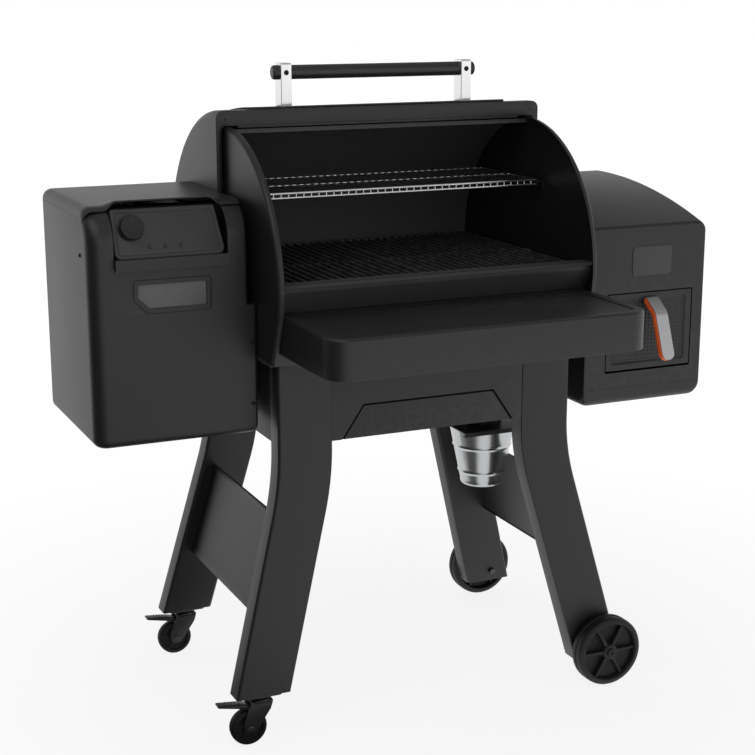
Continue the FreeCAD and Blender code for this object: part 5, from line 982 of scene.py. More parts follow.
def hingeKnuckle(x0, x1, leaf):
    # short tube on the hinge line with the leaf that carries it
    r, bore, length = hopperLid["hingeR"], hopperLid["hingeBore"], x1 - x0
    tube = [(0, bore), (0, r - 0.4), (0.4, r), (length - 0.4, r), (length, r - 0.4), (length, bore), (0, bore)]
    return [revolveSolid("knuckle", tube, (x0, hopperLid["hingeY"], hopperLid["hingeZ"]), (1, 0, 0), 20),
            blockSolid("leaf", x0, x1, *leaf, 0.5)]


def shadeWell(case):
    # the faces inside the well get painted shade, a near-black coat standing in for the shadow in the well; its leaning
    # front keeps the coat
    h, mesh = hopper, case.data
    mesh.materials.append(paintedShade)
    x, y, z = unplace([face.center for face in mesh.polygons]).T
    inside = ((x > h["wellX0"] - 0.5) & (x < h["wellX1"] + 0.5) & (z > h["slitZ"] - 0.5)
              & (y > -h["y"] + 0.9) & (y < h["wellBack"] + 0.5))
    normals = np.array([face.normal for face in mesh.polygons])
    sloped = (z < h["wellZ"] + 2.5) & (normals[:, 1] < -0.6)
    mesh.polygons.foreach_set("material_index", (inside & ~sloped).astype(np.int32))


def hopperPiece():
    # hollow case with a mouth for the bin, a well for the controls and a window with its bezel
    h = hopper
    x0, x1, face, top = h["wellX0"], h["wellX1"], -h["y"], h["top"]
    case = hopperSkin("case", 0.0)
    cavity = hopperSkin("cavity", h["wall"])
    lining = blockSolid("lining", x0 - 2, x1 + 2, face - 5, h["wellBack"] + 2, h["wellZ"] - 2, top + 9, 0.3)
    backing = blockSolid("backing", x0 - 2, x1 + 2, face - 6, face + 18, h["leanZ"] - 9, h["wellZ"] - 1, 0.3)
    carve(cavity, [lining, backing])
    low, high = nodeBox("hopper_bin")
    mouth = blockSolid("mouth", low[0] - 0.4, high[0] + 0.4, low[1] - 0.4, high[1] + 0.4, top - 9, top + 5, 0.3)
    well = blockSolid("well", x0, x1, face - 30, h["wellBack"], h["wellZ"], top + 5, 0.3)
    leanTop = h["leanZ"] + h["leanRise"]
    lean = slopedBlock("lean", [(face - 12, h["leanZ"] - 3.5), (face - 0.01, h["leanZ"]), (face + h["lean"], leanTop),
                                (face - 12, leanTop)], x0 + 0.4, x1 - 0.4)
    slits = [blockSolid("slit", x, x + h["slit"], face - 5, face + 1.7, h["slitZ"], h["wellZ"] + 3, 0.2)
             for x in (x0, x1 - h["slit"])]
    left, right, foot, head = h["inlet"]
    slits.append(blockSolid("inlet", left, right, h["y"] - 9, h["y"] + 6, foot, head, 0.3))
    carve(case, [cavity, mouth, well, lean, *slits, windowSolid("hole", 0.0, face - 3, face + 6),
                 windowSolid("rebate", window["frame"] + 0.7, face - 3, face + 0.9, radius=7)], 28)
    ring = windowSolid("bezel", window["frame"], face - 0.9, face + 0.9, (1.0, 0.0), 6)
    carve(ring, [windowSolid("pane", 0.0, face - 3, face + 3)])
    parts = [case, softEdges(ring, 0.3, 1, 50)]
    shadeWell(case)
    hingeZ = hopperLid["hingeZ"]
    for x0, x1 in h["knuckles"]:
        parts += hingeKnuckle(x0, x1, (h["y"] - 1, h["y"] + 2.6, hingeZ - 17, hingeZ - 1))
    return joinPieces("hopper_housing.look", parts, "frame")


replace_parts(hopperPiece(), "hopper_housing")
pane = windowSolid("pellet_window.look", 5.4, -hopper["y"] + 2.3, -hopper["y"] + 5.3, (0.5, 0.5), material=smokedGlass)
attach(pane, "frame")
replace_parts(pane, "pellet_window")


def hopperLidPiece():
    # sheet that curls over the left edge and bends down at the front, with a hood raised along the front middle
    c = hopperLid
    left, curl, x0, x1, slope = (c[k] for k in ("left", "curl", "x0", "x1", "slope"))
    a = np.radians(np.linspace(0, 90, 10))
    curlX, curlZ = left + curl * (1 - np.cos(a)), c["top"] - curl * (1 - np.sin(a))
    marks, counts = [left + curl, x0 - slope, x0, x1, x1 + slope, c["right"]], (5, 8, 24, 8, 7)
    flatX = np.concatenate([np.linspace(p, q, count)[1:] for p, q, count in zip(marks, marks[1:], counts)])
    x = np.concatenate([curlX, flatX])
    z0 = np.concatenate([curlZ, np.full(len(flatX), c["top"])])
    hood = np.minimum(smoothStep((x - x0 + slope) / slope), smoothStep((x1 + slope - x) / slope))
    front = c["frontY"] + (c["raisedY"] - c["frontY"]) * hood
    # rounded back corner on the left
    s = np.clip(1 - (x - left) / c["backCorner"], 0, 1)
    back = c["backY"] - c["backCorner"] * (1 - np.sqrt(1 - s * s))
    v = np.concatenate([np.linspace(0, 0.3, 16), np.linspace(0.3, 1, 14)[1:]])
    y = front + (back - front) * v[:, None]
    bend = np.clip((c["bendY"] - y) / (c["bendY"] - c["frontY"]), 0, 1) ** 2
    raised = c["rise"] * hood * smoothStep(1 - (y - c["raisedY"]) / c["fade"])
    z = z0 + raised - c["drop"] * bend * (1 - hood)
    points = np.stack([np.broadcast_to(x, y.shape), y, z], -1)
    sheet = makePiece("lidSheet", points.reshape(-1, 3), gridFaces(*y.shape), closed=False)
    faceAway(sheet, (-520, 0, 900))
    thicken(sheet, c["wall"], -1)
    parts = [softEdges(sheet, 0.35, 2, 50)]
    for x0, x1 in c["knuckles"]:
        parts += hingeKnuckle(x0, x1, (c["backY"] - 8, c["hingeY"], c["hingeZ"] + 2.6, c["top"] - 0.6))
    return joinPieces("hopper_lid.look", parts, "hopper_lid")


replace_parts(hopperLidPiece(), "hopper_lid")
print("hopper")

pod = dict(x0=-618.0, x1=-403.0, lean=15.0, z0=975.0, z1=1065.7, y0=-179.0, y1=-152.32, corners=(15, 14, 5, 5),
           depth=15.0, round=3.0, knobX=-583.0, knobZ=1031.0, knobR=24.5, knobH=17.0, knobBore=3.4, grips=36,
           gripR=0.5, buttonX=(-550.0, -520.0, -490.0), buttonZ=996.0, buttonR=3.3, buttonBore=3.7,
           mark=(0.7, 9.0, 13.6))
podTilt = math.atan2(pod["y1"] - pod["y0"], pod["z1"] - pod["z0"])
podUp = np.array([0, math.sin(podTilt), math.cos(podTilt)])
podOut = np.array([0, -math.cos(podTilt), math.sin(podTilt)])
podFoot = np.array([0, pod["y0"], pod["z0"]])


def onPod(x, z):
    # point of the tilted face at x and height z
    return np.array([x, 0, 0]) + podFoot + podUp * (z - pod["z0"]) / math.cos(podTilt)


def podLoop(loop, out):
    # outline of (x, distance up the face) at a distance out from the face
    x = np.stack([loop[:, 0], np.zeros(len(loop)), np.zeros(len(loop))], -1)
    return x + podFoot + loop[:, 1:2] * podUp + out * podOut


def podPiece():
    # tilted box: rolled edge, a narrow groove inside it, then the flat face with holes for the knob and buttons
    high = (pod["z1"] - pod["z0"]) / math.cos(podTilt)
    outline = [(pod["x0"], 0), (pod["x1"], 0), (pod["x1"] - pod["lean"], high), (pod["x0"], high)]
    r = pod["round"]
    steps = [(-pod["depth"], 0.0)] + [(-r * (1 - math.sin(q)), r * (1 - math.cos(q)))
                                      for q in np.linspace(0, math.pi / 2, 5)]
    steps += [(0.0, 7.4), (-0.25, 7.7), (-1.0, 7.9), (-1.0, 8.6), (-0.3, 8.8), (-0.1, 9.4)]
    loops = [podLoop(filletLoop(outline, pod["corners"], inset, 8), out) for out, inset in steps]
    face = stackSolid("face", loops, 30, podCoat)
    at = onPod(pod["knobX"], pod["knobZ"])
    cutters = [rodSolid("knobHole", -5, 4, pod["knobBore"], at, podOut, material=podCoat)]
    cutters += [rodSolid("buttonHole", -8, 4, pod["buttonBore"], onPod(x, pod["buttonZ"]), podOut, material=podCoat)
                for x in pod["buttonX"]]
    return joinPieces("control_pod.look", [carve(face, cutters, 30)], "frame")


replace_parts(podPiece(), "control_pod")


def knobPiece():
    # broad base, narrower ribbed grip, shallow dished face with a plain index line
    r, h = pod["knobR"], pod["knobH"]
    at = onPod(pod["knobX"], pod["knobZ"])
    profile = [(-4.5, 0), (-4.5, 3.0), (0.6, 3.0), (0.6, r - 0.6), (1.2, r), (3.4, r), (4.2, r - 0.5), (4.8, r - 1.6),
               (h - 2.2, r - 2.6), (h - 0.9, r - 3.1), (h - 0.2, r - 4.2), (h, r - 5.6), (h - 0.5, r - 7.2),
               (h - 0.7, 6), (h - 0.7, 0)]
    cap = revolveSolid("cap", profile, at, podOut, 64, 30, knobBlack)
    side = np.cross(podOut, podUp)
    grips = [[at + podOut * d + (r - 1.75 - 0.08 * d) * (math.cos(a) * side + math.sin(a) * podUp)
              for d in (5.5, h - 2.6)] for a in np.linspace(0, 2 * math.pi, pod["grips"], endpoint=False)]
    ribs = wireSet("grips", grips, pod["gripR"], knobBlack, 5)
    half, start, stop = pod["mark"]
    line = rectangle(-half, half, start, stop)
    mark = roundedSolid("mark", line, [0.6] * 4, "y", 0, 1, (0, 0), 3, 2, material=darkSteel)
    flat = unplace([v.co for v in mark.data.vertices])
    moved = at + flat[:, 0:1] * side + flat[:, 2:3] * podUp + (h - 0.62 + 0.35 * flat[:, 1:2]) * podOut
    mark.data.vertices.foreach_set("co", place(moved).astype(np.float32).ravel())
    faceAway(mark, at)
    return joinPieces("control_knob.look", [cap, ribs, mark], "knob")


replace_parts(knobPiece(), "control_knob")

r = pod["buttonR"]
cap = [(-6.5, 0), (-6.5, r), (0.6, r), (1.3, 2.9), (1.6, 2.0), (1.6, 0)]
for number, buttonX in enumerate(pod["buttonX"], 1):
    name = "button_%d" % number
    piece = revolveSolid(name + ".look", cap, onPod(buttonX, pod["buttonZ"]), podOut, 28, 40, blackPlastic, name)
    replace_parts(piece, name)
print("controls")

shelf = dict(half=331.0, front=shelfReach, back=245.0, top=866.0, bottom=790.0, corner=45.0, edge=6.0, depth=3.0,
             wall=2.0, slots=(-190.0, 190.0), slotHalf=3.2)


def shelfPiece():
    # closed skin from the dish over the rolled edge, down the skirt and up inside
    s = shelf
    top, foot, e, t = s["top"], s["bottom"], s["edge"], s["wall"]
    dish = top - s["depth"]
    steps = [(dish, 30), (dish, 25), (dish + 0.3, 23.4), (top - 0.9, 21.6), (top - 0.2, 20.6), (top, 19.4)]
    steps += [(top - e * (1 - math.sin(a)), e * (1 - math.cos(a))) for a in np.linspace(math.pi / 2, 0, 7)]
    steps += [(foot + 1.0, 0), (foot + 0.3, 0.3), (foot, 1.0), (foot + 0.3, 1.7), (foot + 1.0, t), (top - 7, t),
              (top - 3.5, 3.6), (top - 2, 7), (top - 2.2, 20), (top - 5, 24), (top - 5, 30)]
    outline = rectangle(-s["half"], s["half"], -s["front"], -s["back"])
    loops = [lift(filletLoop(outline, [s["corner"], s["corner"], 3, 3], inset, 12), "z", z) for z, inset in steps]
    tray = stackSolid("tray", loops, 34)
    back, half = -s["back"], s["slotHalf"]
    slots = [blockSolid("slot", x - half, x + half, back - 4, back + 2, foot - 2, top - 6, 0.2) for x in s["slots"]]
    return joinPieces("front_shelf.look", [carve(tray, slots, 34)], "frame")


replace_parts(shelfPiece(), "front_shelf")
print("shelf")

lid = dict(r=327.0, half=361.0, z=900.0, front=8.0, rim=30.0, strip=11.0, overlap=94.0, edge=15.0, ear=18.0, wall=2.0,
           seam=((341.5, 0.0), (340.6, 0.7), (339.7, 0.7), (338.8, 0.0)), bandIn=46.0, earBore=6.4,
           screw=(342.0, 1210.0))


def lidAngle(r):
    # angle behind the vertical at which a radius meets the flat front of the rim
    return -np.arcsin(np.minimum(1, lid["front"] / np.maximum(r, lid["front"])))


def lidShellPiece():
    # skin: an outline of (x, radius) swept about the hinge line, from the flat rim back over the drum
    half, r, z, edge, ear, front = (lid[k] for k in ("half", "r", "z", "edge", "ear", "front"))
    bend = [(half - edge * (1 - math.cos(q)), r - edge * (1 - math.sin(q))) for q in np.linspace(0, math.pi / 2, 8)]
    side = [(half, at) for at in np.linspace(ear - 3, r - edge, 7)[:-1]]
    across = [(x, r) for x in np.linspace(half - edge, -(half - edge), 15)[1:-1]]
    seam = [(x, r - deep) for x, deep in lid["seam"]]
    path = np.array(side + bend + seam + across + [(-x, at) for x, at in (side + bend + seam)[::-1]])
    t = np.linspace(0, 1, 64)[:, None]
    start = lidAngle(path[:, 1])
    turn = start + (math.radians(lid["overlap"]) - start) * t
    x = np.broadcast_to(path[:, 0], turn.shape)
    points = np.stack([x, path[:, 1] * np.sin(turn), z + path[:, 1] * np.cos(turn)], -1)
    skin = makePiece("skin", points.reshape(-1, 3), gridFaces(64, len(path)), 28, False)
    faceAway(skin, (0, 60, z))
    thicken(skin, lid["wall"], -1, 28)
    parts = [softEdges(skin, 0.5, 1, 55)]
    # flat rim round the opening: an outer and an inner outline joined by a strip
    top, foot = z + math.sqrt(r ** 2 - front ** 2), z + ear - 3
    sill, inside = top - lid["rim"], half - lid["strip"]
    outer = roundedPath([(-half, foot), (-half, top), (half, top), (half, foot)], [0, edge, edge, 0], 9)
    inner = roundedPath([(-inside, foot), (-inside, sill), (inside, sill), (inside, foot)], [0, 10, 10, 0], 9)
    flat = np.concatenate([outer, inner])
    points = np.stack([flat[:, 0], np.full(len(flat), 0.2 - front), flat[:, 1]], -1)
    rim = makePiece("rim", points, gridFaces(2, len(outer)), 30, False)
    faceAway(rim, (0, 60, 1100))
    thicken(rim, 2.0, -1)
    parts.append(softEdges(rim, 0.6, 2, 50))
    # folded lip under the rim with a second thin band
    parts.append(blockSolid("lip", 4 - inside, inside - 4, 1 - front, 7, sill - 0.4, sill + 1.6, 0.6))
    band = half - lid["bandIn"]
    parts.append(blockSolid("band", -band, band, 3 - front, 5 - front, sill - 4.6, sill + 1, 0.5))
    a = math.radians(lid["overlap"])
    along, normal = np.array([math.sin(a), math.cos(a)]), np.array([math.cos(a), -math.sin(a)])
    rear = [np.array([0, z]) + along * at - normal * 1.2 for at in (r - lid["rim"], r - 1.4)]
    parts.append(sheetAlongX("rear", rear, 4 - half, half - 4, 2.0, 0))
    bore, (screwX, screwZ) = lid["earBore"], lid["screw"]
    disc = [(-1.0, bore), (-1.0, ear - 0.5), (-0.5, ear), (0.5, ear), (1.0, ear - 0.5), (1.0, bore), (-1.0, bore)]
    for s in (-1, 1):
        parts.append(revolveSolid("ear", disc, (s * (half - 1), 0, z), (1, 0, 0), 40))
        parts.append(screwHead("rimScrew", (s * screwX, 0.4 - front, screwZ), (0, -1, 0), 2.2, 0.7, softBlack))
    return joinPieces("lid_shell.look", parts, "lid")


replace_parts(lidShellPiece(), "lid_shell")

handle = dict(y=37.0, z=1296.0, r=14.4, bore=14.6, half=226.5, postX=202.0, postHalf=11.5, postY=(19.0, 55.0),
              postTop=1315.0, postFoot=331.3, postRound=1.6, postWall=2.0)
strip = dict(r=327.3, thick=3.7, half=306.0, taper=22.0, start=0.6, stop=14.0)


def onLid(x, degrees, radius):
    a = np.radians(degrees)
    return np.stack(np.broadcast_arrays(x, radius * np.sin(a), lid["z"] + radius * np.cos(a)), -1)


def handlePieces():
    # raised strip bent with the lid, two bright channel posts, and a bar with a ringed cap at each end
    s = strip
    turn = np.linspace(s["start"], s["stop"], 12)[:, None]
    half = s["half"] - s["taper"] * (1 - (turn - s["start"]) / (s["stop"] - s["start"]))
    points = onLid(np.linspace(-1, 1, 25)[None] * half, turn, s["r"] + s["thick"])
    sheet = makePiece("sheet", points.reshape(-1, 3), gridFaces(12, 25), closed=False)
    faceAway(sheet, (0, 0, 900))
    thicken(sheet, s["thick"], -1)
    softEdges(sheet, 0.8, 2, 50)
    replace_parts(joinPieces("handle_strip.look", [sheet], "lid"), "handle_strip")

    h = handle
    (y0, y1), z, top, soft = h["postY"], h["z"], h["postTop"], h["postRound"]
    outline = [(y, lid["z"] + math.sqrt(h["postFoot"] ** 2 - y * y)) for y in (y0, 31, 43, y1)]
    outline += [(y1, top), (y0, top)]
    parts = []
    for x in (-h["postX"], h["postX"]):
        x0, x1 = x - h["postHalf"], x + h["postHalf"]
        post = roundedSolid("post", outline, [0.3, 0.3, 0.3, 0.3, 4, 4], "x", x0, x1, (soft, soft), 6, 4,
                            material=brightSteel)
        t = h["postWall"]
        hollow = blockSolid("hollow", x0 + t, x1 - t, y0 + t, y1 + 5, 1200, top - t, 0.3, brightSteel)
        bore = rodSolid("bore", -20, 20, h["bore"], (x, h["y"], z), (1, 0, 0), 48, brightSteel)
        carve(post, [hollow, bore], 30)
        parts.append(softEdges(post, 0.35, 1, 60))
        parts.append(screwHead("postScrew", (x, y0 + 0.1, z), (0, -1, 0), 5.2, 2.2, softBlack))
    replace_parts(joinPieces("handle_posts.look", parts, "lid"), "handle_posts")

    r, half = h["r"], h["half"]
    cap = [(0.0, 0.0), (0.0, r - 5.0), (0.5, r - 3.0), (1.8, r - 1.2), (3.6, r - 0.3), (5.4, r), (6.4, r),
           (6.8, r - 0.6), (7.4, r - 0.6), (7.8, r)]
    profile = [(-half + a, b) for a, b in cap] + [(half - a, b) for a, b in cap[::-1]]
    bar = revolveSolid("handle_bar.look", profile, (0, h["y"], z), (1, 0, 0), 64, 32, barBlack, "lid")
    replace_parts(bar, "handle_bar")


handlePieces()
print("lid and handle")

grate = dict(top=913.0, thick=10.0, half=256.0, bar=8.0, x0=0.8, x1=329.0, pitch=18.0)


def gratePiece(tag, side):
    # cast bars with soft crowns from front to back, a frame and a middle tie
    x0, x1, bar, z1, half = (grate[k] for k in ("x0", "x1", "bar", "top", "half"))
    z0 = z1 - grate["thick"]
    low, high = sorted((side * x0, side * x1))
    parts = [blockSolid("frameBar", low, high, y, y + bar, z0, z1, 2.2, ironCoat) for y in (-half, half - bar)]
    parts.append(blockSolid("tie", low + 2, high - 2, -bar / 2, bar / 2, z0 + 0.3, z1 - 3, 1.5, ironCoat))
    count = int((x1 - x0 - bar) / grate["pitch"])
    for i in range(count + 1):
        at = x0 + (x1 - x0 - bar) / count * i
        a, b = sorted((side * at, side * (at + bar)))
        section = filletLoop([(a + 1.2, z0), (b - 1.2, z0), (b, z1), (a, z1)], [1.5, 1.5, 2.6, 2.6], 0, 5)
        parts.append(stackSolid("bar", [lift(section, "y", y) for y in (1.0 - half, half - 1.0)], 40, ironCoat))
    name = "grate_" + tag
    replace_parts(joinPieces(name + ".look", parts, name), name)


gratePiece("left", -1)
gratePiece("right", 1)

rack = dict(z=1066.0, y0=-66.0, y1=186.0, half=334.0, wire=2.5, thin=1.5, drop=9.0, inner=320.5, count=40, midY=60.0,
            midWire=2.0)


def rackPiece():
    # frame of round wire with a double front rail and thin wires bent down between the two rails
    z, y0, y1, wire, inner = (rack[k] for k in ("z", "y0", "y1", "wire", "inner"))
    x = rack["half"] - wire
    loop = roundedPath([(-x, y0), (x, y0), (x, y1), (-x, y1), (-x, y0)], [0, 5, 5, 5, 0], 6)
    parts = [wireSet("frameWire", [lift(loop, "z", z)], wire, wireChrome, 12)]
    for name, reach, y, low, r, sides in (("lowWire", inner, y0, rack["drop"], wire, 12),
                                          ("midWire", rack["half"] - 3, rack["midY"], 0.5, rack["midWire"], 10)):
        parts.append(wireSet(name, [[(x, y, z - low) for x in (-reach, 0, reach)]], r, wireChrome, sides))
    bend = roundedPath([(y1, z + 1.0), (y0 - 0.6, z + 1.0), (y0 - 0.6, z - rack["drop"])], [0, 3.4, 0], 5)
    paths = [lift(bend, "x", x) for x in np.linspace(6 - inner, inner - 6, rack["count"])]
    parts.append(wireSet("thinWire", paths, rack["thin"], wireChrome, 8))
    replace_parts(joinPieces("warming_rack.look", parts, "rack"), "warming_rack")


rackPiece()
print("grates and rack")

cabinet = dict(x0=371.0, x1=665.0, y=210.0, bottom=595.0, frontTop=977.0, backTop=1044.0, rise=19.0, corner=19.0,
               edge=3.0, foot=20.0, brow=9.0, wall=2.0, room=8.0, doorX0=424.0, doorX1=635.0, doorZ0=669.0,
               doorZ1=834.0, face=-210.0, crease=632.15, badge=(482.0, 579.0, 870.0, 933.0), keeper=(515.5, 543.5),
               pinIn=9.0, pinUp=7.0, pinR=3.1)
pinY, pinZ = cabinet["face"] + cabinet["pinIn"], cabinet["doorZ0"] + cabinet["pinUp"]


def cabinetOutline(drop):
    # side outline (y, z): flat foot with rolled edges, straight front and back, top bowed as the circle through
    # its two ends and its raised middle; drop shrinks it in height
    c, y, steps = cabinet, cabinet["y"], 33
    mid = (c["frontTop"] + c["backTop"]) / 2 + c["rise"]
    a, b, m = np.array([-y, c["frontTop"]]), np.array([y, c["backTop"]]), np.array([0.0, mid])
    d = 2 * (a[0] * (m[1] - b[1]) + m[0] * (b[1] - a[1]) + b[0] * (a[1] - m[1]))
    centre = np.array([(a @ a * (m[1] - b[1]) + m @ m * (b[1] - a[1]) + b @ b * (a[1] - m[1])),
                       (a @ a * (b[0] - m[0]) + m @ m * (a[0] - b[0]) + b @ b * (m[0] - a[0]))]) / d
    r = np.linalg.norm(a - centre)
    turn = np.linspace(math.atan2(*(b - centre)[::-1]), math.atan2(*(a - centre)[::-1]), steps)
    arc = centre + r * np.stack([np.cos(turn), np.sin(turn)], -1)
    foot = c["bottom"] + drop
    points = np.concatenate([[(-y, foot), (y, foot)], arc - (0, drop)])
    return points, [c["foot"], c["foot"], c["brow"]] + [0.97 * r] * (steps - 2) + [c["brow"]]


def cabinetSkin():
    # corners between top or foot and the sides are rolled wide, the upright edges stay crisp
    x0, x1, edge, corner = (cabinet[k] for k in ("x0", "x1", "edge", "corner"))
    loops = []
    for at, drop in endStations(x0, x1, corner, corner, 10):
        reach = min(at - x0, x1 - at)
        inset = edge - math.sqrt(edge ** 2 - max(0.0, edge - reach) ** 2)
        points, radii = cabinetOutline(drop)
        loops.append(lift(filletLoop(points, radii, inset, 6), "x", at))
    return stackSolid("case", loops, 26)


def cabinetPiece():
    # case with a room behind the door's opening, a thin seam across its front, ears for the door's pin and a badge
    c, face, t = cabinet, cabinet["face"], cabinet["wall"]
    x0, x1, z0, z1 = c["doorX0"], c["doorX1"], c["doorZ0"], c["doorZ1"]
    case = cabinetSkin()
    outline = rectangle(x0 - 2, x1 + 2, z0 - 4, z1 + 2)
    hole = roundedSolid("hole", outline, [4] * 4, "y", face - 4, face + 8, (0, 0), 5, 2)
    seam = c["crease"]
    crease = slopedBlock("crease", [(face - 3, seam - 0.75), (face + 0.5, seam - 0.25), (face + 0.5, seam + 0.25),
                                    (face - 3, seam + 0.75)], c["x0"] - 5, c["x1"] + 5)
    room, floor, ceiling = c["room"], c["bottom"] + 17, c["frontTop"] - 17
    cavity = blockSolid("cavity", c["x0"] + room, c["x1"] - room, face + t, c["y"] - t, floor, ceiling, 0)
    parts = [carve(case, [cavity, hole, crease], 26)]
    for x in (x0 - 8, x1 + 6):
        outline = rectangle(face + 1.4, pinY + 12, pinZ - 12, pinZ + 12)
        ear = roundedSolid("ear", outline, [2, 7, 7, 2], "x", x, x + t, (0.3, 0.3), 5, 2)
        parts.append(carve(ear, [rodSolid("pinHole", -3, 6, c["pinR"], (x, pinY, pinZ), (1, 0, 0), 20)]))
    parts.append(blockSolid("keeper", *c["keeper"], face + 1.4, face + 9, z1 + 2, z1 + 4, 0.5))
    parts.append(roundedSolid("badge", rectangle(*c["badge"]), [9] * 4, "y", face - 1.5, face + 0.3, (0.8, 0), 7, 4,
                              material=badgeCoat))
    return joinPieces("cabinet_housing.look", parts, "frame")


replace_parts(cabinetPiece(), "cabinet_housing")


door = dict(fold=14.0, wall=2.0, skin=1.2, opening=(436, 620, 681, 824), press=(431, 625, 676, 829), sink=2.2,
            edgeX=(437, 619), edgeZ=(682, 823), slope=4.0, dimple=1.7, pitch=8, dimpleX=444, dimpleZ=689, border=6.5)


def doorPress():
    # pressed middle: a shallow sunk field, less a round bump at each point of a square lattice
    x0, x1, z0, z1 = door["press"]
    (left, right), (low, high), pitch = door["edgeX"], door["edgeZ"], door["pitch"]
    columns, rows = x1 - x0 + 1, z1 - z0 + 1
    x, z = np.meshgrid(np.linspace(x0, x1, columns), np.linspace(z0, z1, rows), indexing="ij")
    margin = np.minimum(np.minimum(x - left, right - x), np.minimum(z - low, high - z))
    sink = door["sink"] * smoothStep(margin / door["slope"])
    half = pitch / 2
    px, pz = np.mod(x - door["dimpleX"] + half, pitch) - half, np.mod(z - door["dimpleZ"] + half, pitch) - half
    bumps = door["dimple"] * (margin > door["border"]) * np.exp(-(px ** 2 + pz ** 2) / 2.6)
    points = np.stack([x, cabinet["face"] + door["skin"] + 0.05 + sink - bumps, z], -1)
    press = makePiece("press", points.reshape(-1, 3), gridFaces(columns, rows), 50, False)
    faceAway(press, (528, 0, 750))
    return thicken(press, 1.0, -1, 50)


def doorPiece():
    # folded tray with an opening for the pressed middle, and the barrel it hangs on
    x0, x1, z0, z1 = (cabinet[k] for k in ("doorX0", "doorX1", "doorZ0", "doorZ1"))
    face, back, t = cabinet["face"], cabinet["face"] + door["fold"], door["wall"]
    tray = roundedSolid("tray", rectangle(x0, x1, z0, z1), [3.2] * 4, "y", face, back, (1.6, 0.4), 5, 5)
    hollow = blockSolid("hollow", x0 + t, x1 - t, face + door["skin"], back + 5, z0 + t, z1 - t, 0.3)
    clip = blockSolid("clip", x0 - 3, x1 + 3, pinY - 1, back + 5, z0 - 3, pinZ + 6, 0.3)
    opening = roundedSolid("opening", rectangle(*door["opening"]), [7] * 4, "y", face - 3, face + 5, (0, 0), 6, 2)
    parts = [carve(tray, [hollow, clip, opening], 30), doorPress()]
    bore, length = cabinet["pinR"], x1 - x0 - 0.6
    tube = [(0, bore), (0, 5.2), (0.4, 5.5), (length - 0.4, 5.5), (length, 5.2), (length, bore), (0, bore)]
    parts.append(revolveSolid("barrel", tube, (x0 + 0.3, pinY, pinZ), (1, 0, 0), 24))
    parts.append(blockSolid("tie", x0 + 0.5, x1 - 0.5, face + 0.8, pinY - 4, pinZ - 2, pinZ + 2, 0.5))
    return joinPieces("cabinet_door.look", parts, "door")


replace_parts(doorPiece(), "cabinet_door")

lever = dict(mid=531.0, width=33.0, plate=3.0, trim=9.4, back=1.4, points=((4.6, 825.0), (42.0, 797.5), (78.0, 702.5)),
             bend=16.0, gap=0.1, foot=((0.3, 804.5), (0.3, 820.5), (4.2, 821.5), (17, 810.5)), footHalf=13.5)


def leverLayer(name, start, thick, width, material, edge=0.6, body=None):
    # bent strip with a round lower end, set back from the front of the lever by start
    line = roundedPath([(cabinet["face"] - out, z) for out, z in lever["points"]], [0, lever["bend"], 0], 10)
    length = np.concatenate([[0], np.cumsum(np.linalg.norm(np.diff(line, axis=0), axis=1))])
    total, r = length[-1], width / 2
    tip = total - r + r * np.sin(np.linspace(0, math.pi / 2, 12))[1:]
    s = np.concatenate([np.linspace(0, total - r, 30), tip])
    s[-1] = total - 0.02
    at = np.stack([np.interp(s, length, line[:, 0]), np.interp(s, length, line[:, 1])], -1)
    ahead = np.gradient(at, s, axis=0)
    ahead /= np.linalg.norm(ahead, axis=1)[:, None]
    y, z = (at - np.stack([ahead[:, 1], -ahead[:, 0]], -1) * start).T
    half = np.where(s <= total - r, r, np.sqrt(np.maximum(0.02, r * r - (s - total + r) ** 2)))
    x = lever["mid"] + half[:, None] * np.sin(np.linspace(-math.pi / 2, math.pi / 2, 13))
    points = np.stack(np.broadcast_arrays(x, y[:, None], z[:, None]), -1)
    piece = makePiece(name, points.reshape(-1, 3), gridFaces(len(s), 13), 35, False, material, body)
    faceAway(piece, (lever["mid"], 0, 600))
    thicken(piece, thick, -1, 35)
    return softEdges(piece, edge, 3, 55)


def leverPieces():
    # bright plate in front, coloured trim behind it, dark back and a wedge that meets the door
    v, face, gap = lever, cabinet["face"], lever["gap"]
    plate = leverLayer("lever_arm.look", 0.0, v["plate"], v["width"] - 4, leverSteel, 0.7, "door")
    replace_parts(plate, "lever_arm")
    trim = leverLayer("trim", v["plate"] + gap, v["trim"], v["width"], orangeTrim, 0.9)
    back = leverLayer("back", v["plate"] + v["trim"] + gap, v["back"], v["width"] - 1.2, blackPlastic, 0.5)
    foot = slopedBlock("foot", [(face - out, z) for out, z in v["foot"]], v["mid"] - v["footHalf"],
                       v["mid"] + v["footHalf"], blackPlastic)
    for layer in (back, trim):
        behind = blockSolid("behind", v["mid"] - 25, v["mid"] + 25, face - 0.3, face + 30, 740, 850, 0.2, blackPlastic)
        carve(layer, [behind])
    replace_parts(joinPieces("lever_core.look", [trim, back, foot], "door"), "lever_core")


leverPieces()
print("cabinet")

bodyScrews = dict(front=(-355.3, -178.1, (800.0, 678.0)), left=(-667.9, -118.0, 980.0), r=4.0, height=2.6)

x, y, heights = bodyScrews["front"]
spots = [((x, y, z), (0, -1, 0)) for z in heights] + [(bodyScrews["left"], (-1, 0, 0))]
screws = [screwHead("screw", at, out, bodyScrews["r"], bodyScrews["height"], softBlack) for at, out in spots]
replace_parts(joinPieces("body_screws.look", screws, "frame"), "body_screws")


view = dict(where=(-1360.0, -2983.5, 1460.0), turn=math.radians(-24.33), tilt=math.radians(13.82), angle=26.82)

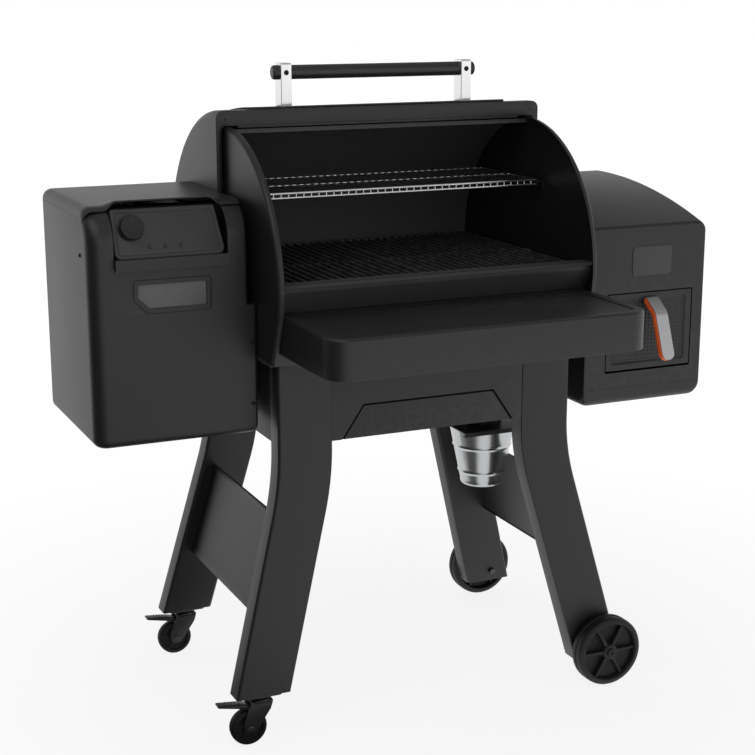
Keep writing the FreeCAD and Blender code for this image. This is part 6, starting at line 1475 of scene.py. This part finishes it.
studio = dict(overhead=((0.20, 1.0), (0.42, 0.47), (0.66, 0.34)), dimWay=(-0.97, -0.22, 0.0),
              dim=((0.52, 1.0), (0.86, 0.10)), floorHalf=30.0, floorColor=0.9, floorGlow=1.07, fadeReach=4.0,
              fade=((0.15, 0.80), (0.7, 1.0)), bounce=0.9, lampAt=(-1800, -1400, 3200), lampTo=(0, 0, 700),
              lampSize=2.4, lampWatts=20)


def setCamera():
    data = bpy.data.cameras.new("camera")
    data.sensor_fit, data.angle = "HORIZONTAL", math.radians(view["angle"])
    data.clip_start, data.clip_end = 0.05, 100
    camera = addObject("camera", data)
    a, e = view["turn"], view["tilt"]
    right = Vector((math.cos(a), math.sin(a), 0))
    back = Vector((math.sin(a) * math.cos(e), -math.cos(a) * math.cos(e), math.sin(e)))
    turn = Matrix((right, back.cross(right), back)).transposed().to_4x4()
    camera.matrix_world = Matrix.Translation(place(view["where"]).tolist()) @ turn
    bpy.context.scene.camera = camera


setCamera()


def lightAround(tree, direction):
    # brightness seen in a direction: full near the horizon, less overhead, and dim towards the viewer's left
    split = tree.nodes.new("ShaderNodeSeparateXYZ")
    tree.links.new(direction, split.inputs[0])
    height = rampNode(tree, split.outputs["Z"], studio["overhead"])
    facing = tree.nodes.new("ShaderNodeVectorMath")
    facing.operation = "DOT_PRODUCT"
    facing.inputs[1].default_value = studio["dimWay"]
    tree.links.new(direction, facing.inputs[0])
    shade = rampNode(tree, facing.outputs["Value"], studio["dim"])
    return mathNode(tree, "MULTIPLY", height, shade)


def setBackdrop():
    # plain white behind the grill; for everything else a studio that is brighter round the horizon
    world = bpy.data.worlds.new("backdrop")
    bpy.context.scene.world = world
    world.use_nodes = True
    tree = world.node_tree
    tree.nodes.clear()
    path, out = tree.nodes.new("ShaderNodeLightPath"), tree.nodes.new("ShaderNodeOutputWorld")
    soft, white = tree.nodes.new("ShaderNodeBackground"), tree.nodes.new("ShaderNodeBackground")
    mix = tree.nodes.new("ShaderNodeMixShader")
    around = tree.nodes.new("ShaderNodeTexCoord").outputs["Generated"]
    tree.links.new(lightAround(tree, around), soft.inputs["Strength"])
    for node in (soft, white):
        node.inputs["Color"].default_value = (1, 1, 1, 1)
    tree.links.new(path.outputs["Is Camera Ray"], mix.inputs[0])
    tree.links.new(soft.outputs[0], mix.inputs[1])
    tree.links.new(white.outputs[0], mix.inputs[2])
    tree.links.new(mix.outputs[0], out.inputs["Surface"])


setBackdrop()


def floorMaterial():
    # pale floor with a soft contact shadow for the camera; reflections see it as bright as the studio around it
    material = bpy.data.materials.new("floor")
    material.use_nodes = True
    tree = material.node_tree
    tree.nodes.clear()
    out = tree.nodes.new("ShaderNodeOutputMaterial")
    diffuse = tree.nodes.new("ShaderNodeBsdfDiffuse")
    glow, around = tree.nodes.new("ShaderNodeEmission"), tree.nodes.new("ShaderNodeEmission")
    pale, mix = tree.nodes.new("ShaderNodeMixShader"), tree.nodes.new("ShaderNodeMixShader")
    diffuse.inputs["Color"].default_value = (*[studio["floorColor"]] * 3, 1)
    glow.inputs["Strength"].default_value = studio["floorGlow"]
    where = tree.nodes.new("ShaderNodeTexCoord").outputs["Object"]
    size, way = tree.nodes.new("ShaderNodeVectorMath"), tree.nodes.new("ShaderNodeVectorMath")
    size.operation, way.operation = "LENGTH", "NORMALIZE"
    for node in (size, way):
        tree.links.new(where, node.inputs[0])
    far = rampNode(tree, mathNode(tree, "DIVIDE", size.outputs["Value"], studio["fadeReach"]), studio["fade"])
    tree.links.new(far, pale.inputs[0])
    tree.links.new(diffuse.outputs[0], pale.inputs[1])
    tree.links.new(glow.outputs[0], pale.inputs[2])
    bounce = mathNode(tree, "MULTIPLY", lightAround(tree, way.outputs[0]), studio["bounce"])
    tree.links.new(bounce, around.inputs["Strength"])
    tree.links.new(tree.nodes.new("ShaderNodeLightPath").outputs["Is Camera Ray"], mix.inputs[0])
    tree.links.new(around.outputs[0], mix.inputs[1])
    tree.links.new(pale.outputs[0], mix.inputs[2])
    tree.links.new(mix.outputs[0], out.inputs["Surface"])
    return material


def setFloor():
    half = studio["floorHalf"]
    mesh = bpy.data.meshes.new("floor")
    mesh.from_pydata([(-half, -half, 0), (half, -half, 0), (half, half, 0), (-half, half, 0)], [], [(0, 1, 2, 3)])
    mesh.materials.append(floorMaterial())
    addObject("floor", mesh)


setFloor()


def addLamp(name, where, target, size, watts):
    data = bpy.data.lights.new(name, "AREA")
    data.size, data.energy = size, watts
    lamp = addObject(name, data)
    lamp.location = place(where).tolist()
    way = Vector(place(where).tolist()) - Vector(place(target).tolist())
    lamp.rotation_euler = way.to_track_quat("Z", "Y").to_euler()


addLamp("key", studio["lampAt"], studio["lampTo"], studio["lampSize"], studio["lampWatts"])
bpy.context.scene.view_settings.view_transform = "Standard"
print("camera, floor and light")
